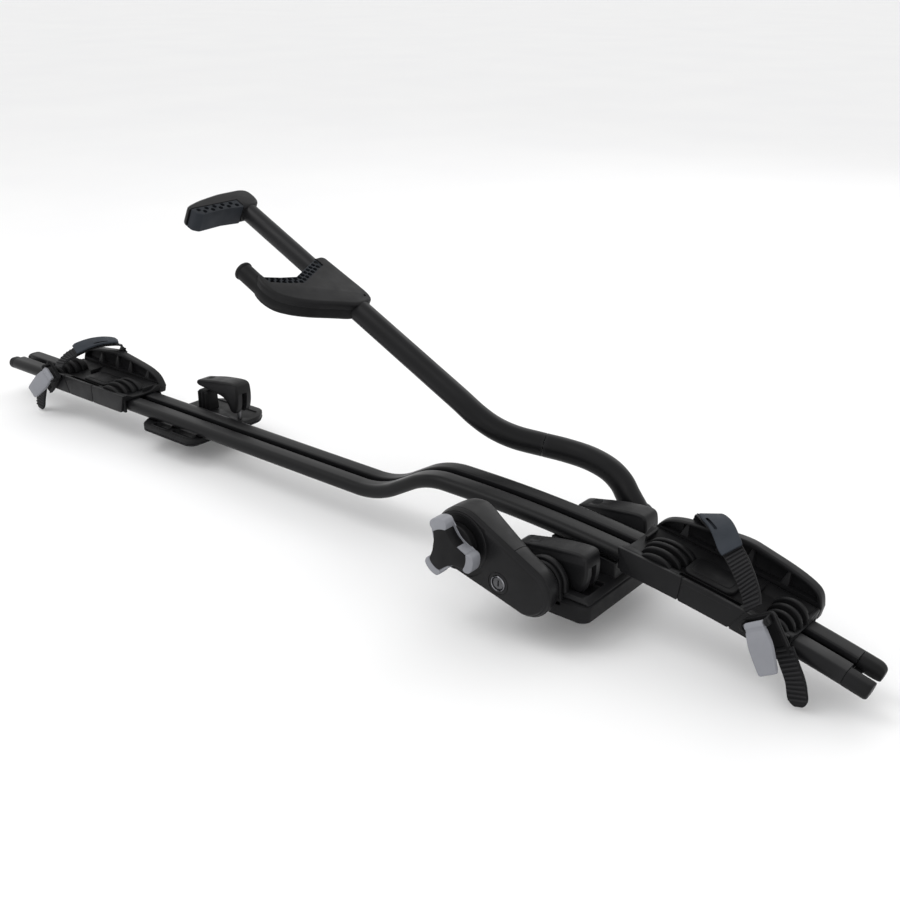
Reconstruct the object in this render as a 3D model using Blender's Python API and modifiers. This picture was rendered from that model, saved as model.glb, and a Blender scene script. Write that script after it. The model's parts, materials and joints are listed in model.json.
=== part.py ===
"""Upright bicycle carrier for roof bars, modelled as the pieces it comes apart into.

Frame: metres, +Z up, +X towards the car's front, +Y across the car.  The origin is the centre of
the front foot's underside, on the rail's centreline.  Sizes below are in millimetres; MM converts.
"""
import math

import bmesh
import bpy
from mathutils import Matrix, Vector

MM = 0.001
GAP = 0.3                      # clearance between neighbouring pieces
PIN_ROOM = 0.4                 # the same round a lever's pin or bolt

# Rail: straight rear run, S-bend up, then one long crowned arc down to the front tip.
RAIL_REAR_X, RAIL_FRONT_X = -1109.0, 296.0
RAIL_TOP_REAR = 27.5
RAIL_WIDTH, RAIL_HEIGHT = 59.0, 17.3
BEND_START_X, BEND_RADIUS, BEND_ANGLE, BEND_STRAIGHT = -343.0, 117.0, 30.0, 31.5
CREST_FLAT, CROWN_RADIUS = 20.0, 1920.0
LOBE_Y, LOBE_HOLE = 19.8, 5.6
CAP_LENGTH = 22.0

# Front foot, and the arm's pivot in it.
FOOT_X, FOOT_Y, FOOT_CORNER = 47.0, 92.6, 12.0
PARTING_Z, DECK_Z = 20.0, 27.0
PIVOT = Vector((-10.0, 0.0, 33.0))
SHAFT_R, ARCH_TRAY_R, ARCH_COVER_R = 8.0, 24.0, 27.0
CHEEK_TRAY, CHEEK_COVER = 5.5, 7.5           # thickness of each shell's cheeks
FOOT_PAD_INSET, FOOT_PAD_TOP = (9.0, 12.0), 5.0
SADDLE_HALF, POCKET_HALF, POCKET_Z = 27.0, 16.5, 22.0

# Cam levers: the same piece three times.
LEVER_Y, LEVER_WIDTH, LEVER_PIN_R, LEVER_BOLT_R = 60.0, 28.0, 4.0, 3.0
FRONT_LEVER_PIVOT, REAR_LEVER_PIVOT = (20.0, 48.0), (-657.0, 47.0)

# Rear foot.
REAR_FOOT_X, REAR_FOOT_Z = (-765.0, -642.0), (3.3, 9.6)
REAR_FOOT_Y = (-44.0, 108.0)
STRAP_SLOTS = ((-738.0, -706.0), (-695.0, -652.0))
SLOT_Y = (-37.0, -24.0)

# Frame-holder arm: the straight tube lies ARM_OFFSET below the line from the pivot.
ARM_RISE, ARM_Y, ARM_OFFSET = 26.57, 55.0, 6.0
TUBE_R, INNER_TUBE_R = 14.6, 12.4
TUBE_END, BORE_END, INNER_START = 446.0, 285.0, 392.0
CLAW_HALF, CLAW_PLATE = 14.0, 9.0
CLAW_PAD_DEPTH = 8.0
HOOK_Y, HOOK_R = -41.0, 12.0
JAW_PAD_BACK = 668.0
MOUTH = [(529.0, 56.0), (508.0, 4.0), (514.0, -18.0), (518.0, -27.0)]
LINK_Y = 109.0

# Torque-knob housing.
KNOB_CENTRE = Vector((-94.0, 0.0, 65.0))
HOUSING_FACE_Y, HOUSING_BACK_Y, DRUM_BACK_Y = -124.0, -94.5, -80.0
HUB_R, DRUM_R = 29.6, 38.0
LOCK_CENTRE, LOCK_R = Vector((-43.0, 0.0, 33.0)), 9.0
KNOB_FRONT_Y, KNOB_R, LOBE_ANGLES = -150.0, 39.0, (0.0, 120.0, 240.0)
CORE_R, CORE_HOLLOW_R = 30.0, 23.0
SPINDLE_R, SPINDLE_Y = 4.0, (-142.0, -87.0)

# Wheel holders: the front one sits on the crowned arc, the rear one is its mirror image.
FRONT_HOLDER_X, REAR_HOLDER_X = 145.0, -902.0
HOLDER_HALF = 98.0
TRAY_WALL_Y, TRAY_TOP, TRAY_BOTTOM, TRAY_FLOOR = (30.2, 33.6), 9.0, -17.0, 4.0
COVER_Y, COVER_W = (33.9, 37.6), (-17.0, 10.0)
HOOP_Y = (34.0, 46.0)
HOOP_WALL, HOOP_BACK = 6.0, 4.0
STRAP_WIDTH, STRAP_THICK = 22.0, 3.0
STRAP_STEPS, STRAP_TOP = 3, 8  # sections per point of a strap's line, and the one at its top
PAD_RISE = 1.6                 # the rim pad rides on the strap's ribs
PAD_THICK, PAD_SIDES, PAD_SECTIONS = 3.5, 1.5, slice(8, 17)
TIP_SHARE = (0.55, 0.3)        # a loose tail's tip: its width and length over the strap's width

# Strap buckle, in a holder's own directions: along the rail, across it, above it.
BUCKLE_HINGE, LEVER_DOWN = (65.0, -52.5, 13.5), (0.667, -0.253, -0.70)
BUCKLE_LENGTH, BUCKLE_HALF, PIN_R = 54.0, 11.8, 1.8
FRAME_Y, FRAME_SIZE, FRAME_SHIFT = -42.3, (48.0, 35.0, 5.4), (18.0, 2.0)
EAR_SIZE, EAR_Y = (7.0, 3.2, 12.0), -50.0

COLLECTIONS = {}


# ---------------------------------------------------------------- scene and materials
def clear_scene():
    for obj in list(bpy.data.objects):
        bpy.data.objects.remove(obj, do_unlink=True)


def make_collections():
    for key, name in (("parts", "roof_bicycle_carrier"), ("cutters", "cutters")):
        COLLECTIONS[key] = bpy.data.collections.new(name)
        bpy.context.scene.collection.children.link(COLLECTIONS[key])


def material(name, colour, roughness, metallic=0.0):
    mat = bpy.data.materials.new(name)
    mat.use_nodes = True
    shader = mat.node_tree.nodes["Principled BSDF"]
    shader.inputs["Base Color"].default_value = (*colour, 1.0)
    shader.inputs["Roughness"].default_value = roughness
    shader.inputs["Metallic"].default_value = metallic
    return mat


def make_materials():
    return {
        "plastic": material("black_plastic", (0.012, 0.012, 0.013), 0.5),
        "cover": material("black_cover", (0.016, 0.016, 0.018), 0.42),
        "metal": material("black_aluminium", (0.014, 0.014, 0.015), 0.35, 0.6),
        "steel": material("dark_steel", (0.10, 0.10, 0.11), 0.4, 0.9),
        "pad": material("slate_rubber", (0.06, 0.075, 0.09), 0.7),
        "rubber": material("black_rubber", (0.02, 0.02, 0.02), 0.8),
        "strap": material("black_strap", (0.02, 0.021, 0.023), 0.55),
        "grey": material("light_grey_plastic", (0.33, 0.34, 0.37), 0.45),
    }


# ---------------------------------------------------------------- building blocks
def add(name, mesh, mat, parent=None):
    """A new part from a mesh in millimetres, parented without moving it."""
    mesh.transform(Matrix.Scale(MM, 4))
    mesh.name = name
    if mat:
        mesh.materials.clear()
        mesh.materials.append(mat)
    obj = bpy.data.objects.new(name, mesh)
    COLLECTIONS["parts"].objects.link(obj)
    mesh.shade_smooth()
    mesh.set_sharp_from_angle(angle=math.radians(40))
    if parent:
        obj.parent = parent
        obj.matrix_parent_inverse = parent.matrix_world.inverted()
    return obj


def joint_empty(name, location, parent=None):
    """An empty on a joint's axis; the moving pieces hang from it."""
    empty = bpy.data.objects.new(name, None)
    empty.location = Vector(location) * MM
    empty.empty_display_size = 0.03
    COLLECTIONS["parts"].objects.link(empty)
    if parent:
        empty.parent = parent
        empty.matrix_parent_inverse = parent.matrix_world.inverted()
    bpy.context.view_layer.update()
    return empty


def curve_mesh(curve, weld=0.001):
    """A closed mesh, in the curve's own units, from a curve datablock."""
    holder = bpy.data.objects.new("curve_holder", curve)
    bpy.context.scene.collection.objects.link(holder)
    graph = bpy.context.evaluated_depsgraph_get()
    mesh = bpy.data.meshes.new_from_object(holder.evaluated_get(graph))
    bpy.data.objects.remove(holder, do_unlink=True)
    bm = bmesh.new()
    bm.from_mesh(mesh)
    bmesh.ops.remove_doubles(bm, verts=bm.verts, dist=weld)
    bmesh.ops.recalc_face_normals(bm, faces=bm.faces)
    bm.to_mesh(mesh)
    bm.free()
    return mesh


AXES = {
    "Z": Matrix.Identity(3),
    "Y": Matrix(((1, 0, 0), (0, 0, -1), (0, 1, 0))),
    "X": Matrix(((0, 0, 1), (1, 0, 0), (0, 1, 0))),
}


def prism_mesh(outlines, low, high, axis):
    """Flat outlines (the first one outer, the rest holes) given thickness along an axis.

    An outline is (x, y) for axis Z, (x, z) for axis Y and (y, z) for axis X.
    """
    curve = bpy.data.curves.new("outline", "CURVE")
    curve.dimensions = "2D"
    curve.fill_mode = "BOTH"
    curve.extrude = (high - low) / 2
    for outline in outlines:
        spline = curve.splines.new("POLY")
        spline.points.add(len(outline) - 1)
        for point, (a, b) in zip(spline.points, outline):
            point.co = (a, b, 0.0, 1.0)
        spline.use_cyclic_u = True
    mesh = curve_mesh(curve)
    middle = AXES[axis] @ Vector((0, 0, (low + high) / 2))
    if axis == "Y":
        middle = -middle
    mesh.transform(Matrix.Translation(middle) @ AXES[axis].to_4x4())
    return mesh


def prism(name, outline, low, high, axis, mat, parent=None):
    return add(name, prism_mesh([outline], low, high, axis), mat, parent)


def box(name, low, high, mat=None, parent=None):
    bm = bmesh.new()
    bmesh.ops.create_cube(bm, size=1.0)
    size = Vector(high) - Vector(low)
    centre = (Vector(high) + Vector(low)) / 2
    bmesh.ops.transform(bm, verts=bm.verts, matrix=Matrix.LocRotScale(centre, None, size))
    return add(name, mesh_of(bm), mat, parent)


def rod_mesh(start, end, radius, sides=24, end_radius=None):
    """A cylinder, or a cone, between two points."""
    start, end = Vector(start), Vector(end)
    turn = Vector((0, 0, 1)).rotation_difference(end - start)
    bm = bmesh.new()
    bmesh.ops.create_cone(
        bm, cap_ends=True, segments=sides, radius1=radius, radius2=end_radius or radius,
        depth=(end - start).length,
        matrix=Matrix.LocRotScale((start + end) / 2, turn, None))
    return mesh_of(bm)


def rod(name, start, end, radius, mat=None, parent=None, end_radius=None, sides=24):
    return add(name, rod_mesh(start, end, radius, sides, end_radius), mat, parent)


def mesh_of(bm):
    mesh = bpy.data.meshes.new("mesh")
    bm.to_mesh(mesh)
    bm.free()
    return mesh


def smooth_path(points, steps=3):
    """More points on a Catmull-Rom curve through the given ones."""
    pts = [Vector(p) for p in points]
    pts = [2 * pts[0] - pts[1]] + pts + [2 * pts[-1] - pts[-2]]
    path = []
    for a, b, c, d in zip(pts, pts[1:], pts[2:], pts[3:]):
        for i in range(steps):
            t = i / steps
            path.append(0.5 * (2 * b + (c - a) * t + (2 * a - 5 * b + 4 * c - d) * t ** 2
                               + (3 * b - a - 3 * c + d) * t ** 3))
    return path + [pts[-2]]


def tube(name, points, radius, mat=None, parent=None, sides_level=4):
    curve = bpy.data.curves.new(name, "CURVE")
    curve.dimensions = "3D"
    curve.bevel_depth = radius
    curve.bevel_resolution = sides_level
    curve.use_fill_caps = True
    spline = curve.splines.new("POLY")
    spline.points.add(len(points) - 1)
    for point, place in zip(spline.points, points):
        point.co = (*place, 1.0)
    return add(name, curve_mesh(curve), mat, parent)


def loft(name, rings, mat=None, parent=None):
    """A closed skin through rings of equal length, for sections that differ."""
    bm = bmesh.new()
    rows = [[bm.verts.new(p) for p in ring] for ring in rings]
    for row, following in zip(rows, rows[1:]):
        for i, corner in enumerate(row):
            j = (i + 1) % len(row)
            bm.faces.new((corner, row[j], following[j], following[i]))
    bm.faces.new(list(reversed(rows[0])))
    bm.faces.new(rows[-1])
    bmesh.ops.recalc_face_normals(bm, faces=bm.faces)
    return add(name, mesh_of(bm), mat, parent)


def boolean(obj, other, operation):
    """Cut or join with a helper, which moves to the cutters' collection."""
    mod = obj.modifiers.new(operation.lower(), "BOOLEAN")
    mod.operation = operation
    mod.solver = "EXACT"
    mod.object = other
    COLLECTIONS["parts"].objects.unlink(other)
    COLLECTIONS["cutters"].objects.link(other)
    other.name = f"{operation.lower()}_{obj.name}"
    other.hide_render = True
    other.display_type = "WIRE"
    return obj


def cut(obj, cutter):
    return boolean(obj, cutter, "DIFFERENCE")


def join(obj, piece):
    return boolean(obj, piece, "UNION")


def bevel(obj, width, segments=1, angle=35.0):
    mod = obj.modifiers.new("bevel", "BEVEL")
    mod.width = width * MM
    mod.segments = segments
    mod.limit_method = "ANGLE"
    mod.angle_limit = math.radians(angle)
    return obj


def arc(centre, radius, start, end, steps):
    """Points on an arc; angles in degrees, counter-clockwise from the first axis."""
    angles = [math.radians(start + (end - start) * i / steps) for i in range(steps + 1)]
    return [(centre[0] + radius * math.cos(a), centre[1] + radius * math.sin(a)) for a in angles]


def rounded_rectangle(low, high, corner, steps=2):
    (x0, y0), (x1, y1) = low, high
    corners = (((x1 - corner, y1 - corner), 0), ((x0 + corner, y1 - corner), 90),
               ((x0 + corner, y0 + corner), 180), ((x1 - corner, y0 + corner), 270))
    points = []
    for centre, start in corners:
        points += arc(centre, corner, start, start + 90, steps)
    return points


def circle_pair(c1, r1, c2, r2, steps=8):
    """The outline round two circles and the lines that touch both."""
    heading = math.degrees(math.atan2(c2[1] - c1[1], c2[0] - c1[0]))
    spread = math.degrees(math.acos((r1 - r2) / math.dist(c1, c2)))
    return (arc(c1, r1, heading + spread, heading + 360 - spread, steps)
            + arc(c2, r2, heading - spread, heading + spread, steps))


# ---------------------------------------------------------------- the rail's line
def rail_segments():
    """(length, curvature) of each stretch of the rail's top line, from the rear end."""
    turn = math.radians(BEND_ANGLE)
    reach = RAIL_FRONT_X - crest_x()
    return [(BEND_START_X - RAIL_REAR_X, 0.0), (BEND_RADIUS * turn, 1 / BEND_RADIUS),
            (BEND_STRAIGHT, 0.0), (BEND_RADIUS * turn, -1 / BEND_RADIUS), (CREST_FLAT, 0.0),
            (CROWN_RADIUS * math.asin(reach / CROWN_RADIUS), -1 / CROWN_RADIUS)]


def crest_x():
    turn = math.radians(BEND_ANGLE)
    return (BEND_START_X + 2 * BEND_RADIUS * math.sin(turn) + BEND_STRAIGHT * math.cos(turn)
            + CREST_FLAT)


def rail_point(distance):
    """(x, z, slope) of the rail's top line at a distance from its rear end."""
    x, z, slope = RAIL_REAR_X, RAIL_TOP_REAR, 0.0
    segments = rail_segments()
    for index, (length, curvature) in enumerate(segments):
        run = distance if index == len(segments) - 1 else min(distance, length)
        if curvature:
            after = slope + run * curvature
            x += (math.sin(after) - math.sin(slope)) / curvature
            z += (math.cos(slope) - math.cos(after)) / curvature
            slope = after
        else:
            x += run * math.cos(slope)
            z += run * math.sin(slope)
        distance -= run
        if distance == 0:
            break
    return x, z, slope


def rail_length():
    return sum(length for length, _ in rail_segments())


def rail_distance(x):
    """The distance along the rail at which its top line reaches x."""
    low, high = 0.0, rail_length() + CAP_LENGTH
    for _ in range(50):
        middle = (low + high) / 2
        low, high = (middle, high) if rail_point(middle)[0] < x else (low, middle)
    return low


def follow_rail(mesh, start, facing=1, stations=()):
    """Bend a straight mesh (u along the rail, v across, w above its top) onto the rail."""
    bm = bmesh.new()
    bm.from_mesh(mesh)
    for station in stations:
        everything = bm.verts[:] + bm.edges[:] + bm.faces[:]
        bmesh.ops.bisect_plane(bm, geom=everything, dist=0.001, plane_co=(station, 0, 0),
                               plane_no=(1, 0, 0))
    for vert in bm.verts:
        x, z, slope = rail_point(start + facing * vert.co.x)
        height = vert.co.z
        vert.co.x = x - height * math.sin(slope)
        vert.co.z = z + height * math.cos(slope)
    if facing < 0:
        bmesh.ops.reverse_faces(bm, faces=bm.faces)
    bm.to_mesh(mesh)
    bm.free()
    return mesh


# ---------------------------------------------------------------- rail and its caps
def rail_section():
    """Two rounded lobes with an open T-slot between them, and the lobes' round hollows."""
    half, lobe = RAIL_WIDTH / 2, RAIL_HEIGHT / 2
    right = [(0, -12), (9, -12), (9, -6.5), (5.2, -6.5), (5.2, -2), (8, 0)]
    right += arc((half - lobe, -lobe), lobe, 90, -90, 6) + [(12, -RAIL_HEIGHT)]
    left = [(-y, z) for y, z in reversed(right[1:])]
    holes = [arc((side * LOBE_Y, -lobe), LOBE_HOLE, 0, 315, 7) for side in (-1, 1)]
    return [right + left] + holes


def rail_stations():
    stations, distance = [], 0.0
    for length, curvature in rail_segments():
        count = 1
        if curvature:
            count = 8 if abs(curvature) < 0.001 else 5
        stations += [distance + length * i / count for i in range(count)]
        distance += length
    return stations[1:]


def cap_mesh(start, facing):
    """A plug with two rounded tips, one for each lobe."""
    half, tip = RAIL_WIDTH / 2, 11.0
    right = [(GAP, 0), (GAP, half)] + arc((CAP_LENGTH - tip, half - tip - 1), tip + 1, 90, 0, 3)
    right += arc((CAP_LENGTH - tip, tip - 3), tip, 0, -50, 2)
    outline = right[1:] + [(x, -y) for x, y in reversed(right[1:])]
    mesh = prism_mesh([outline], -RAIL_HEIGHT, 0, "Z")
    return follow_rail(mesh, start, facing)


def build_rail(mats):
    length = rail_length()
    mesh = prism_mesh(rail_section(), 0, length, "X")
    add("rail", follow_rail(mesh, 0.0, 1, rail_stations()), mats["metal"])
    bevel(add("rail_front_cap", cap_mesh(length, 1), mats["plastic"]), 3.5, 2)
    bevel(add("rail_rear_cap", cap_mesh(0.0, -1), mats["plastic"]), 3.5, 2)


# ---------------------------------------------------------------- front foot
def arch_outline(radius, base):
    """A cheek round the pivot, standing on the height given."""
    x, z = PIVOT.x, PIVOT.z
    return [(x + radius + 3, base)] + arc((x, z), radius, 0, 180, 8) + [(x - radius - 6, base)]


def shaft_hole(y_low, y_high):
    return rod("hole", (PIVOT.x, y_low, PIVOT.z), (PIVOT.x, y_high, PIVOT.z), SHAFT_R + 0.6)


def build_foot(mats):
    tray = prism("foot_tray", rounded_rectangle((-FOOT_X, -FOOT_Y), (FOOT_X, FOOT_Y), FOOT_CORNER),
                 0, PARTING_Z, "Z", mats["plastic"])
    bevel(tray, 1.5)
    for low in (-FOOT_Y, FOOT_Y - CHEEK_TRAY):
        join(tray, prism("cheek", arch_outline(ARCH_TRAY_R, 10), low, low + CHEEK_TRAY, "Y", None))
    cut(tray, shaft_hole(-100, 100))
    pad = Vector((FOOT_X - FOOT_PAD_INSET[0], FOOT_Y - FOOT_PAD_INSET[1], FOOT_PAD_TOP))
    room = pad + Vector((GAP, GAP, GAP))
    cut(tray, box("recess", (-room.x, -room.y, -5), room))
    bevel(box("foot_pad", (-pad.x, -pad.y, 0), pad, mats["rubber"]), 1.0)
    cover = build_foot_cover(mats)
    for side in (-1, 1):
        for piece, bottom in ((tray, 8.0), (cover, 15.0)):
            x, y = FRONT_LEVER_PIVOT[0], side * LEVER_Y
            cut(piece, rod("hole", (x, y, bottom), (x, y, 60), LEVER_BOLT_R + PIN_ROOM, sides=16))


def build_foot_cover(mats):
    """Upper shell: sloped deck, saddle under the rail, arched cheeks and lever pockets."""
    base = PARTING_Z + GAP
    deck = [(-FOOT_X + 1, base), (FOOT_X - 1, base), (FOOT_X - 3, base + 2), (FOOT_X - 9, DECK_Z),
            (-FOOT_X + 5, DECK_Z), (-FOOT_X + 1, base + 3)]
    inner = FOOT_Y - 6.0
    cover = prism("foot_cover", deck, -inner, inner, "Y", mats["cover"])
    ends = [FOOT_X - 7, 20.0, -10.0, -FOOT_X + 4]
    top = [(x, rail_point(rail_distance(x))[1] - RAIL_HEIGHT - GAP - 0.4) for x in ends]
    saddle = [(ends[-1], base + 3), (ends[0], base + 3)] + top
    join(cover, prism("saddle", saddle, -SADDLE_HALF, SADDLE_HALF, "Y", None))
    for low in (-inner, inner - CHEEK_COVER):
        arch = arch_outline(ARCH_COVER_R, base + 2)
        join(cover, prism("cheek", arch, low, low + CHEEK_COVER, "Y", None))
    cut(cover, shaft_hole(-100, 100))
    for side in (-1, 1):
        low, high = sorted((side * (LEVER_Y - POCKET_HALF), side * (LEVER_Y + POCKET_HALF)))
        cut(cover, box("pocket", (-12, low, POCKET_Z), (36, high, 60)))
    return cover


# ---------------------------------------------------------------- cam levers
def lever_outline(pivot):
    """Side view: long handle, then a thick cam end round the pin."""
    handle = [(-79, 6), (-75, 10), (-38, 17), (4, 21), (11, 17.5)]
    cam = [(13.5, 8), (13.5, -6), (9, -23), (3, -25.5), (-4, -22), (-9, -10), (-20, -3)]
    tip = [(-60, -1), (-80, 2)]
    return [(pivot[0] + x, pivot[1] + z) for x, z in handle + cam + tip]


def build_lever(name, pivot, y, foot_z, mats, parent=None):
    """A cam lever on its cross pin, with the clamp bolt that the pin pulls up."""
    x, z = pivot
    low, high = y - LEVER_WIDTH / 2, y + LEVER_WIDTH / 2
    empty = joint_empty(f"{name}_axis", (x, y, z), parent)
    lever = prism(name, lever_outline(pivot), low, high, "Y", mats["cover"], empty)
    room = box("slot", (x - 5.5, y - 4.5, z - 40), (x + 40, y + 4.5, z + 5.5))
    join(room, rod("hole", (x, low - 5, z), (x, high + 5, z), LEVER_PIN_R + PIN_ROOM, sides=16))
    cut(lever, room)
    rod(f"{name}_pin", (x, low + 0.5, z), (x, high - 0.5, z), LEVER_PIN_R, mats["steel"], parent,
        sides=16)
    rod(f"{name}_bolt", (x, y, foot_z), (x, y, z - LEVER_PIN_R - GAP), LEVER_BOLT_R, mats["steel"],
        parent, sides=12)


def build_front_levers(mats):
    for name, side in (("front_near_lever", -1), ("front_far_lever", 1)):
        build_lever(name, FRONT_LEVER_PIVOT, side * LEVER_Y, 8.0 + GAP, mats)


# ---------------------------------------------------------------- rear foot
def build_rear_foot(mats):
    (x0, x1), (y0, y1) = REAR_FOOT_X, REAR_FOOT_Y
    outline = [(x0 + 14, y0), (x1 - 8, y0), (x1, y0 + 8), (x1, y1 - 22), (x1 - 18, y1),
               (x0 + 30, y1), (x0, y1 - 26), (x0, y0 + 20)]
    empty = joint_empty("rear_foot_slide", ((x0 + x1) / 2, 0, 0))
    plate = prism("rear_foot_plate", outline, *REAR_FOOT_Z, "Z", mats["plastic"], empty)
    bevel(plate, 1.2)
    pad = prism("rear_foot_pad", outline, 0, REAR_FOOT_Z[0] - GAP, "Z", mats["rubber"], empty)
    for piece in (plate, pad):
        for low, high in STRAP_SLOTS:
            ends = rounded_rectangle((low, SLOT_Y[0]), (high, SLOT_Y[1]), 5.0)
            cut(piece, prism("slot", ends, -5, 20, "Z", None))
    x, z = REAR_LEVER_PIVOT
    cut(plate, rod("hole", (x, LEVER_Y, -5), (x, LEVER_Y, 20), LEVER_BOLT_R + PIN_ROOM, sides=16))
    top = REAR_FOOT_Z[1] + GAP
    post = prism("rear_rest_post", [(-739, top), (-713, top), (-716, 41), (-736, 41)],
                 LEVER_Y - 10, LEVER_Y + 10, "Y", mats["plastic"], empty)
    bevel(post, 1.5)
    bracket = [(30.2, top), (44, top), (44, top + 5), (34.5, top + 10), (34.5, 21), (30.2, 21)]
    prism("rear_rail_bracket", bracket, -735, -655, "X", mats["plastic"], empty)
    build_lever("rear_lever", REAR_LEVER_PIVOT, LEVER_Y, REAR_FOOT_Z[0] + 0.5, mats, empty)


# ---------------------------------------------------------------- frame-holder arm
def arm_line_matrix():
    """Along the straight tube: x away from the pivot, y across, z towards the underside."""
    rise = math.radians(ARM_RISE)
    along = Vector((-math.cos(rise), 0, math.sin(rise)))
    normal = Vector((math.sin(rise), 0, math.cos(rise)))
    turn = Matrix((along, (0, 1, 0), -normal)).transposed().to_4x4()
    return Matrix.Translation(PIVOT - ARM_OFFSET * normal) @ turn


def on_arm(distance, y=ARM_Y, depth=0.0):
    return arm_line_matrix() @ Vector((distance, y, depth))


def arm_prism(name, outline, low, high, mat, parent):
    """A flat piece square to the arm: outline as (distance from the pivot, y)."""
    mesh = prism_mesh([outline], low, high, "Z")
    mesh.transform(arm_line_matrix())
    return add(name, mesh, mat, parent)


def arm_rod(name, start, end, radius, mat=None, parent=None, y=ARM_Y, sides=20):
    return rod(name, on_arm(start, y), on_arm(end, y), radius, mat, parent, sides=sides)


def arm_line():
    """The bent part of the arm from the pivot to its straight run, and the index of the seam."""
    points = [(-12, LINK_Y, 35), (-27, LINK_Y, 54), (-38, LINK_Y, 69), (-55, 108, 81),
              (-80, 105, 89), (-110, 98.5, 93.5), (-140, 87.5, 97.5), (-168, 74.5, 103),
              (-191, 64.5, 112), (-213, 57.5, 125), on_arm(253), on_arm(300)]
    steps = 2
    return smooth_path(points, steps), 5 * steps + 1


def build_arm(mats, empty):
    """Cast link on the pivot shaft, then the bent tube up to the claw."""
    line, seam = arm_line()
    middle = (line[seam] + line[seam + 1]) / 2
    gap = (line[seam + 1] - line[seam]).normalized() * GAP
    link = tube("arm_link", line[:seam + 1] + [middle], TUBE_R, mats["metal"], empty)
    x, z = PIVOT.x, PIVOT.z
    join(link, rod("boss", (x, FOOT_Y + 1.5, z), (x, LINK_Y + 12, z), TUBE_R + 0.6))
    cut(link, rod("hole", (x, FOOT_Y, z), (x, LINK_Y + 1, z), SHAFT_R + GAP))
    rod("pivot_shaft", (x, HOUSING_BACK_Y - 10, z), (x, LINK_Y, z), SHAFT_R, mats["steel"], empty)
    path = [middle + gap] + line[seam + 1:] + [on_arm(TUBE_END)]
    arm_tube = tube("arm_tube", path, TUBE_R, mats["metal"], empty)
    cut(arm_tube, arm_rod("bore", BORE_END, TUBE_END + 20, INNER_TUBE_R + 0.4))


def ring_on_arm(distance, y, radius, sides=20):
    """A circle square to the arm's line."""
    turns = [2 * math.pi * (i + 0.5) / sides for i in range(sides)]
    return [on_arm(distance, y + radius * math.cos(a), radius * math.sin(a)) for a in turns]


def claw_outline():
    """The claw's plan before its mouth is cut, as (distance from the pivot, y)."""
    tail = [(436, ARM_Y - 14), (433, ARM_Y), (436, 71), (452, 76), (531, 72)]
    hook = [(530, 40), (512, -30), (510, -50), (497, -50), (476, -37), (456, -6), (446, 22)]
    return tail + hook


def mouth_cutter(depth):
    """The V-shaped room for the pad, open towards the upper jaw."""
    top, bottom = MOUTH[0][1] + GAP, MOUTH[-1][1] - GAP
    back = [(x - depth, y) for x, y in MOUTH]
    outline = [(620, top), (back[0][0], top)] + back + [(back[-1][0], bottom), (620, bottom)]
    return arm_prism("mouth", outline, -30, 30, None, None)


def build_claw(mats, empty):
    half, seam = CLAW_HALF, CLAW_PLATE - CLAW_HALF
    outline = claw_outline()
    body = arm_prism("claw_body", outline, seam + GAP, half, mats["plastic"], empty)
    bevel(body, 3.0)
    profile = [(490, HOOK_R), (550, HOOK_R), (557.5, 9.5), (561, 5.0)]
    join(body, loft("bar", [ring_on_arm(s, HOOK_Y, radius) for s, radius in profile]))
    cover = arm_prism("claw_cover", outline, -half, seam, mats["cover"], empty)
    bevel(cover, 2.5)
    cut(cover, arm_rod("bar_clearance", 480, 575, HOOK_R + GAP, y=HOOK_Y))
    for piece in (body, cover):
        cut(piece, mouth_cutter(CLAW_PAD_DEPTH + GAP))
        cut(piece, arm_rod("socket", 400, TUBE_END + 1, TUBE_R + GAP))
        cut(piece, arm_rod("bore", 430, 600, INNER_TUBE_R + 0.6))
    pad = MOUTH + [(x - CLAW_PAD_DEPTH, y) for x, y in reversed(MOUTH)]
    pad = arm_prism("claw_pad", pad, -half, half, mats["pad"], empty)
    cut(pad, arm_rod("bore", 430, 600, INNER_TUBE_R + 0.4))


def build_upper_jaw(mats, empty):
    """Inner tube that slides in the arm, with the jaw on its end."""
    half = CLAW_HALF
    outline = [(655, -32), (663, -37), (677, -38), (685, -12), (690.5, 22), (691, 66), (684, 73),
               (664, 73), (655, 66)]
    jaw = arm_prism("upper_jaw", outline, -half, half, mats["cover"], empty)
    bevel(jaw, 4.0, 2)
    back = JAW_PAD_BACK
    room = [(640, -60), (back + GAP, -60), (back + GAP, 41), (640, 41)]
    cut(jaw, arm_prism("pad_room", room, -30, 30, None, None))
    cut(jaw, arm_rod("socket", 640, 682, INNER_TUBE_R + GAP))
    arm_rod("inner_tube", INNER_START, 681, INNER_TUBE_R, mats["metal"], empty)
    pad = [(back, 40.7), (655, 40.7), (658, 10), (655.5, -28), (661, -35.5), (back, -36.5)]
    bevel(arm_prism("upper_jaw_pad", pad, -half + 1, half, mats["pad"], empty), 2.0)


# ---------------------------------------------------------------- torque-knob housing
def housing_ring(y, hub_r, drum_r):
    outline = circle_pair((PIVOT.x, PIVOT.z), hub_r, (KNOB_CENTRE.x, KNOB_CENTRE.z), drum_r)
    return [(x, y, z) for x, z in outline]


def on_axis(centre, y):
    return (centre.x, y, centre.z)


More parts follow.
